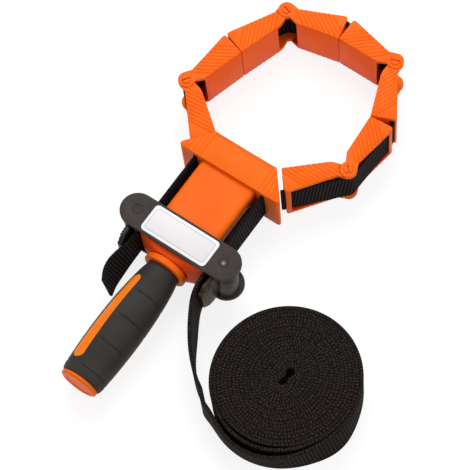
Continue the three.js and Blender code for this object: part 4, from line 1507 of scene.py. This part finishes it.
@dataclass
class Handle:
    """The round grip: an orange core with a collar and two inlays, soft rubber and an end cap.

    Lengths are in millimetres and angles in degrees round the handle's axis from +X. Shares run along the
    grip from the collar to the end.
    """

    axis: float = 16.5
    front: float = -78.2
    rear: float = -161.2
    neck: float = 10.9
    neck_share: float = 0.025
    neck_power: float = 0.68
    belly: float = 14.9
    belly_share: float = 0.56
    belly_power: float = 2.2
    shoulder: float = 13.9
    shoulder_share: float = 0.9
    end: float = 12.2
    groove_shares: tuple[float, ...] = (0.26, 0.48, 0.7, 0.93)
    groove_rings: tuple[float, ...] = (-1.0, -0.45, 0.0, 0.45, 1.0)
    groove_half: float = 0.75
    groove_depth: float = 0.65
    groove_gap: float = 24.0
    groove_fade: float = 9.0
    inlay_width: float = 9.2
    inlay_turns: tuple[float, float] = (128.0, 308.0)
    inlay_start: float = 0.14
    inlay_end: float = 0.9
    inlay_depth: float = 14.0
    inlay_root: float = 2.0
    inlay_narrow: tuple[float, float] = (0.8, 1.05)
    inlay_below: float = 0.12
    inlay_rings: int = 48
    inlay_steps: int = 40
    inlay_edge: float = 40.0
    window_edge: float = 50.0
    rim_gap: float = 0.3
    rim_round: float = 0.3
    rim_steps: int = 2
    core: float = 8.0
    bore_margin: float = 1.05
    tunnel_overrun: float = 5.0
    tunnel_steps: int = 64
    collar: float = 14.2
    collar_front: float = -73.7
    collar_rear: float = -77.9
    collar_round: float = 0.5
    collar_slope: float = 0.9
    recess: tuple[float, float, float] = (5.0, 4.3, 1.0)
    cap_rear: float = -163.7
    cap_gap: float = 0.3
    cap_edge: tuple[tuple[float, float], ...] = ((3.4, 0.5), (3.0, 0.0), (1.1, 0.0), (0.35, 0.35), (0.0, 1.1))
    plug: tuple[float, float] = (6.0, 6.0)
    steps: int = 96
    smooth: float = 42.0

    def radius(self, share: float) -> float:
        """Gives the grip's radius.

        Args:
            share: The share of its length from the collar.

        Returns:
            The radius in millimetres.
        """
        if share <= self.neck_share:
            return self.neck
        if share <= self.belly_share:
            way = (share - self.neck_share) / (self.belly_share - self.neck_share)
            return self.neck + (self.belly - self.neck) * math.sin(0.5 * math.pi * way) ** self.neck_power
        if share <= self.shoulder_share:
            way = (share - self.belly_share) / (self.shoulder_share - self.belly_share)
            return self.belly + (self.shoulder - self.belly) * way ** self.belly_power
        off = (share - self.shoulder_share) / (1.0 - self.shoulder_share)
        return self.end + (self.shoulder - self.end) * math.sqrt(max(0.0, 1.0 - off * off))

    def hull(self, offset: float, count: int = 64) -> list[Ring]:
        """Gives the outer profile of the grip, from the collar to the end.

        Args:
            offset: Millimetres added to its radius.
            count: The rings, without those of the grooves.

        Returns:
            The profile in metres.
        """
        run = self.front - self.rear
        shares = {i / count for i in range(count + 1)}
        for share in self.groove_shares:
            shares.update(share + side * self.groove_half / run for side in self.groove_rings)
        return rings([(self.radius(share) + offset, self.front - share * run) for share in sorted(shares)])

    def build(self, frame: dict, finishes: Finishes) -> None:
        """Builds the handle's pieces.

        Args:
            frame: The loaded frame.
            finishes: The clamp's finishes.
        """
        self._rubber(finishes.rubber)
        self._core(finishes.collar)
        self._cap(finishes.orange)
        for node in ("spindle", "retaining_clip"):
            MouldedNode(node, "handle", "bright_steel", 0.15, 1).build(frame, finishes.steel)

    def _turned(self, name: str, profile: Sequence[Ring], steps: int = 0) -> bpy.types.Object:
        """Turns a body about the handle's axis from radius and Y in metres."""
        centre = mm(0.0, 0.0, self.axis)
        return Bench.turned(name, profile, centre, Vector((0.0, 1.0, 0.0)), steps or self.steps)

    def _finish(self, piece: bpy.types.Object, material: bpy.types.Material, slot: str, node: str) -> None:
        """Smooths, dresses and seats one of the handle's pieces.

        Args:
            piece: The finished form.
            material: Its finish.
            slot: The record's material slot.
            node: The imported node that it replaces.
        """
        Bench.smooth(piece, self.smooth)
        dress(piece, material)
        seat(piece, "handle", slot, node)

    def _inlay_tool(self, turn: float, clearance: float) -> bpy.types.Object:
        """Builds the long rounded block that cuts a window, or that an inlay fills.

        Args:
            turn: Degrees round the axis from +X.
            clearance: Taken off all round, in millimetres.

        Returns:
            The closed block.
        """
        run = self.front - self.rear
        y0, y1 = (self.front - share * run for share in (self.inlay_start, self.inlay_end))
        Bench.clear()
        bpy.ops.mesh.primitive_cylinder_add(
            vertices=self.inlay_steps, radius=(self.inlay_width / 2 - clearance) * MM,
            depth=self.inlay_depth * MM,
            location=mm(0.0, 0.0, self.core - self.inlay_root + self.inlay_depth / 2),
        )
        tool = bpy.context.object
        Bench.settle(tool)
        shift = (y0 - y1 - self.inlay_width) / 2 * MM
        for vertex in tool.data.vertices:
            in_front = vertex.co.y > 0.0
            vertex.co.x *= self.inlay_narrow[0 if in_front else 1]
            vertex.co.y += shift if in_front else -shift
        spin = Matrix.Rotation(math.radians(90.0 - turn), 4, "Y")
        tool.data.transform(Matrix.Translation(mm(0.0, (y0 + y1) / 2, self.axis)) @ spin)
        return tool

    def _rubber(self, material: bpy.types.Material) -> None:
        """Builds the grip with its cross grooves and its two windows.

        Args:
            material: Its finish.
        """
        outer = self.hull(0.0)
        bore = (self.core + self.rim_gap) * MM
        piece = self._turned("grip_sleeve", [(bore, outer[0][1]), *outer, (bore, outer[-1][1])])
        for vertex in piece.data.vertices:
            arm = Vector((vertex.co.x, vertex.co.z - self.axis * MM))
            dip = self._groove_at(vertex.co.y / MM, arm)
            if dip > 0.0 and arm.length > bore * self.bore_margin:
                arm *= (arm.length - dip) / arm.length
                vertex.co.x, vertex.co.z = arm.x, arm.y + self.axis * MM
        front, rear = self.front + self.tunnel_overrun, self.rear - self.tunnel_overrun
        tunnel = rings([(self.core + self.rim_gap, front), (self.core + self.rim_gap, rear)])
        Bench.carve(piece, self._turned("tunnel", tunnel, self.tunnel_steps))
        for turn in self.inlay_turns:
            Bench.carve(piece, self._inlay_tool(turn, 0.0))
        Bench.soften(piece, self.rim_round * MM, self.rim_steps, self.window_edge)
        self._finish(piece, material, "grip_rubber", "handle_grip")

    def _groove_at(self, y: float, arm: Vector) -> float:
        """Gives how deep the cross grooves are at a point of the grip's surface.

        Args:
            y: The place along the handle in millimetres.
            arm: The way from the axis to the point.

        Returns:
            The depth in metres.
        """
        run = self.front - self.rear
        off = min(abs((self.front - y) / run - share) * run for share in self.groove_shares)
        if off >= self.groove_half:
            return 0.0
        turn = math.degrees(math.atan2(arm.y, arm.x))
        nearest = min(abs((turn - centre + 180.0) % 360.0 - 180.0) for centre in self.inlay_turns)
        reach = max(0.0, min(1.0, (nearest - self.groove_gap) / self.groove_fade))
        return self.groove_depth * MM * reach * (1.0 - (off / self.groove_half) ** 2)

    def _core(self, material: bpy.types.Material) -> None:
        """Builds the core with its collar and the two inlays.

        Args:
            material: Its finish.
        """
        mouth, bottom, depth = self.recess
        piece = self._turned("handle_core_fine", rings([
            (self.core, self.rear),
            (self.core, self.collar_rear),
            (self.collar - self.collar_round, self.collar_rear),
            (self.collar, self.collar_rear + self.collar_round),
            (self.collar, self.collar_front - self.collar_slope),
            (self.collar - self.collar_slope, self.collar_front),
            (mouth, self.collar_front),
            (bottom, self.collar_front - depth),
        ]))
        for turn in self.inlay_turns:
            hull = self._turned("inlay_hull", self.hull(-self.inlay_below, self.inlay_rings))
            Bench.carve(hull, self._inlay_tool(turn, self.rim_gap), "INTERSECT")
            Bench.soften(hull, self.rim_round * MM, self.rim_steps, self.inlay_edge)
            Bench.carve(piece, hull, "UNION")
        self._finish(piece, material, "collar_orange", "handle_core")

    def _cap(self, material: bpy.types.Material) -> None:
        """Builds the end cap with its plug.

        Args:
            material: Its finish.
        """
        face = self.rear - self.cap_gap
        plug, length = self.plug
        edge = [(self.end - inset, self.cap_rear + ahead) for inset, ahead in self.cap_edge]
        profile = rings([*edge, (self.end, face), (plug, face), (plug, face + length)])
        self._finish(self._turned("end_cap_fine", profile), material, "orange_plastic", "handle_end_cap")


# Crossbar


@dataclass
class Crossbar:
    """The sliding crossbar: two coated plates, the bare label, rivets, cams, posts and the nut.

    Lengths are in millimetres. rivet_head holds the radii of a rivet's head and how far each stands in
    from its end.
    """

    centre_y: float = -58.6
    pin_x: float = 31.4
    top: float = 33.0
    label_half: tuple[float, float] = (23.3, 9.3)
    label_corner: float = 2.6
    rivet_head: tuple[Ring, ...] = (
        (0.7, 0.55), (1.35, 0.3), (1.7, 0.0), (2.7, 0.0), (2.9, 0.2), (2.9, 0.7), (2.2, 0.7),
    )
    rivet_steps: int = 48
    rivet_smooth: float = 40.0
    dimple_radius: float = 1.3
    dimple_depth: float = 1.0

    def build(self, frame: dict, finishes: Finishes) -> None:
        """Builds the crossbar's pieces.

        Args:
            frame: The loaded frame.
            finishes: The clamp's finishes.
        """
        black = "black_coated_steel"
        for node in ("crossbar_upper_plate", "crossbar_lower_plate"):
            MouldedNode(node, "crossbar", black, 0.4, 3).build(frame, finishes.black)
        label = PrintedLabel(
            "label_face", mm(0.0, self.centre_y, 0.0), mm(*self.label_half), self.label_corner * MM
        )
        MouldedNode("label_plate", "crossbar", "label_white", 0.3, 3).build(frame, label.material())
        for node in ("strap_post_left", "strap_post_right"):
            MouldedNode(node, "crossbar", black, 0.2).build(frame, finishes.black)
        MouldedNode("nut_block", "crossbar", "nut_brass", 0.3).build(frame, finishes.brass)
        for side in Side:
            name = side.name.lower()
            # The right lever's warm tone is partly painted reflection.
            lever = finishes.warm_reflection_lacquer if side is Side.RIGHT else finishes.gloss_black
            MouldedNode(f"cam_lever_{name}", f"cam_{name}", "lever_metal").build(frame, lever)
            MouldedNode(f"cam_spring_{name}", "crossbar", "bright_steel", 0.0).build(frame, finishes.steel)
            self._rivet(side, finishes)

    def _rivet(self, side: Side, finishes: Finishes) -> None:
        """Builds one riveted pin with its dimpled heads, black but for a bright centre on the right.

        Args:
            side: The end of the crossbar.
            finishes: The clamp's finishes.
        """
        name = side.name.lower()
        other_head = [(radius, self.top - inset) for radius, inset in reversed(self.rivet_head)]
        profile = rings([*self.rivet_head, *other_head])
        centre = mm(side.value * self.pin_x, self.centre_y, 0.0)
        piece = Bench.turned(f"rivet_{name}", profile, centre, Vector((0.0, 0.0, 1.0)), self.rivet_steps)
        Bench.smooth(piece, self.rivet_smooth)
        dress(piece, finishes.black)
        if side is Side.RIGHT:
            piece.data.materials.append(finishes.dimple)
            for face in piece.data.polygons:
                away = (face.center.xy - Vector(centre).xy).length
                if away < self.dimple_radius * MM and face.center.z > (self.top - self.dimple_depth) * MM:
                    face.material_index = 1
        seat(piece, "crossbar", "bright_steel", f"cam_pin_{name}")


# Housing and jaws


@dataclass
class Body:
    """The orange housing: the head, the box behind it, and what it holds."""

    def build(self, frame: dict, finishes: Finishes) -> None:
        """Builds the housing's pieces.

        Args:
            frame: The loaded frame.
            finishes: The clamp's finishes.
        """
        MouldedNode("head", "frame", "orange_plastic").build(frame, finishes.head)
        MouldedNode("box_housing", "frame", "orange_plastic", 0.3).build(frame, finishes.housing)
        MouldedNode("thrust_washer", "frame", "bright_steel", 0.15, 1).build(frame, finishes.steel)


@dataclass
class Jaws:
    """The four folding jaws, each of two hinged arms."""

    count: int = 4

    def build(self, frame: dict, finishes: Finishes) -> None:
        """Builds the arms.

        Args:
            frame: The loaded frame.
            finishes: The clamp's finishes.
        """
        for number in range(1, self.count + 1):
            for letter in "ab":
                node = f"jaw_{number}_arm_{letter}"
                MouldedNode(node, f"{node}_body", "orange_plastic", 0.3).build(frame, finishes.jaw)


# Studio


@dataclass
class Studio:
    """The camera at the photographed angle, soft light and a plain pale floor.

    Lengths are in metres, angles in degrees and the focal length in pixels. Each lamp has a name, a
    place, the length of its side and its watts.
    """

    target: Point = mm(21.6, -34.7, 16.0)
    azimuth: float = -42.57
    elevation: float = 65.86
    roll: float = -8.25
    distance: float = 1271.5 * MM
    clip_end: float = 20.0
    focal: float = 2124.6
    picture: float = 470.0
    sensor: float = 36.0
    lamps: tuple[tuple[str, Point, float, float], ...] = (
        ("key", (-0.5, 0.7, 1.3), 0.9, 14.0),
        ("fill", (0.9, 0.1, 1.0), 1.0, 4.5),
        ("front", (-0.2, -1.1, 0.8), 0.8, 2.0),
    )
    ambient: float = 0.34
    floor_size: float = 6.0
    floor_drop: float = 0.2 * MM
    floor_plain: Colour = rgb(0.8, 0.8, 0.8)
    floor_matt: Colour = rgb(0.25, 0.25, 0.25)
    floor_glow: float = 0.82

    def build(self) -> None:
        """Builds the camera, the lights, the world and the floor."""
        self._camera()
        for lamp in self.lamps:
            self._lamp(*lamp)
        self._world()
        self._floor()
        bpy.context.scene.view_settings.view_transform = "Standard"

    def _camera(self) -> None:
        """Places the camera that took the photograph."""
        a, e, r = (math.radians(v) for v in (self.azimuth, self.elevation, self.roll))
        away = Vector((-math.sin(a) * math.cos(e), -math.cos(a) * math.cos(e), math.sin(e)))
        level = Vector((math.cos(a), -math.sin(a), 0.0))
        over = away.cross(level)
        right = level * math.cos(r) + over * math.sin(r)
        up = over * math.cos(r) - level * math.sin(r)
        data = bpy.data.cameras.new("photo_camera")
        data.sensor_fit = "HORIZONTAL"
        data.sensor_width = self.sensor
        data.lens = self.focal / self.picture * self.sensor
        data.clip_end = self.clip_end
        camera = bpy.data.objects.new("photo_camera", data)
        bpy.context.scene.collection.objects.link(camera)
        turn = Matrix((right, up, away)).transposed().to_4x4()
        camera.matrix_world = Matrix.Translation(Vector(self.target) + away * self.distance) @ turn
        bpy.context.scene.camera = camera

    def _lamp(self, name: str, place: Point, size: float, power: float) -> None:
        """Adds a soft square lamp aimed at the clamp.

        Args:
            name: The lamp's name.
            place: Where it hangs, in metres.
            size: The length of its side in metres.
            power: Watts.
        """
        data = bpy.data.lights.new(name, "AREA")
        data.size = size
        data.energy = power
        lamp = bpy.data.objects.new(name, data)
        bpy.context.scene.collection.objects.link(lamp)
        lamp.location = place
        aim = Vector(self.target) - Vector(place)
        lamp.rotation_euler = aim.to_track_quat("-Z", "Y").to_euler()

    def _world(self) -> None:
        """Adds a pale world, which is white where it is seen or mirrored."""
        world = bpy.data.worlds.new("pale_room")
        bpy.context.scene.world = world
        g = Graph("pale_room", world)
        light, seen = (
            g.wire("ShaderNodeBackground", "Background", {"Color": WHITE, "Strength": strength})
            for strength in (self.ambient, 1.0)
        )
        g.node("ShaderNodeOutputWorld", {"Surface": self._by_ray(g, light, seen)})

    def _by_ray(self, g: Graph, met: Wire, seen: Wire) -> Wire:
        """Mixes two shaders by the kind of ray.

        Args:
            g: The material's graph.
            met: What the light meets.
            seen: What the camera, mirrors and clear pieces see.

        Returns:
            The mixed shader.
        """
        path = g.node("ShaderNodeLightPath")
        camera, mirror, clear = (
            Wire(g, path.outputs[f"Is {kind} Ray"]) for kind in ("Camera", "Glossy", "Transmission")
        )
        direct = (camera + mirror + clear).at_most(1.0)
        return g.wire("ShaderNodeMixShader", "Shader", {"Fac": direct, 1: met, 2: seen})

    def _floor(self) -> None:
        """Adds the floor, which is white where it is seen and takes the clamp's soft shadow."""
        Bench.clear()
        bpy.ops.mesh.primitive_plane_add(size=self.floor_size, location=(0.0, 0.0, -self.floor_drop))
        floor = bpy.context.object
        floor.name = "studio_floor"
        g = Graph("studio_floor")
        matt = g.wire("ShaderNodeBsdfDiffuse", "BSDF", {"Color": self.floor_matt})
        glow = g.wire("ShaderNodeEmission", "Emission", {"Color": WHITE, "Strength": self.floor_glow})
        both = g.wire("ShaderNodeAddShader", "Shader", {0: matt, 1: glow})
        plain = g.wire("ShaderNodeBsdfDiffuse", "BSDF", {"Color": self.floor_plain})
        g.node("ShaderNodeOutputMaterial", {"Surface": self._by_ray(g, plain, both)})
        dress(floor, g.material)


def main() -> None:
    """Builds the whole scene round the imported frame."""
    logging.basicConfig(level=logging.INFO, format="%(name)s: %(message)s")
    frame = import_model()
    Studio().build()
    finishes = Finishes.build()
    strap = Webbing()
    StrapRoll().build(finishes.supply)
    StrapTail().build(strap, finishes.webbing)
    StrapStretches().build(frame, strap, finishes.webbing)
    for part in (Handle(), Crossbar(), Body(), Jaws()):
        part.build(frame, finishes)


if __name__ == "__main__":
    main()
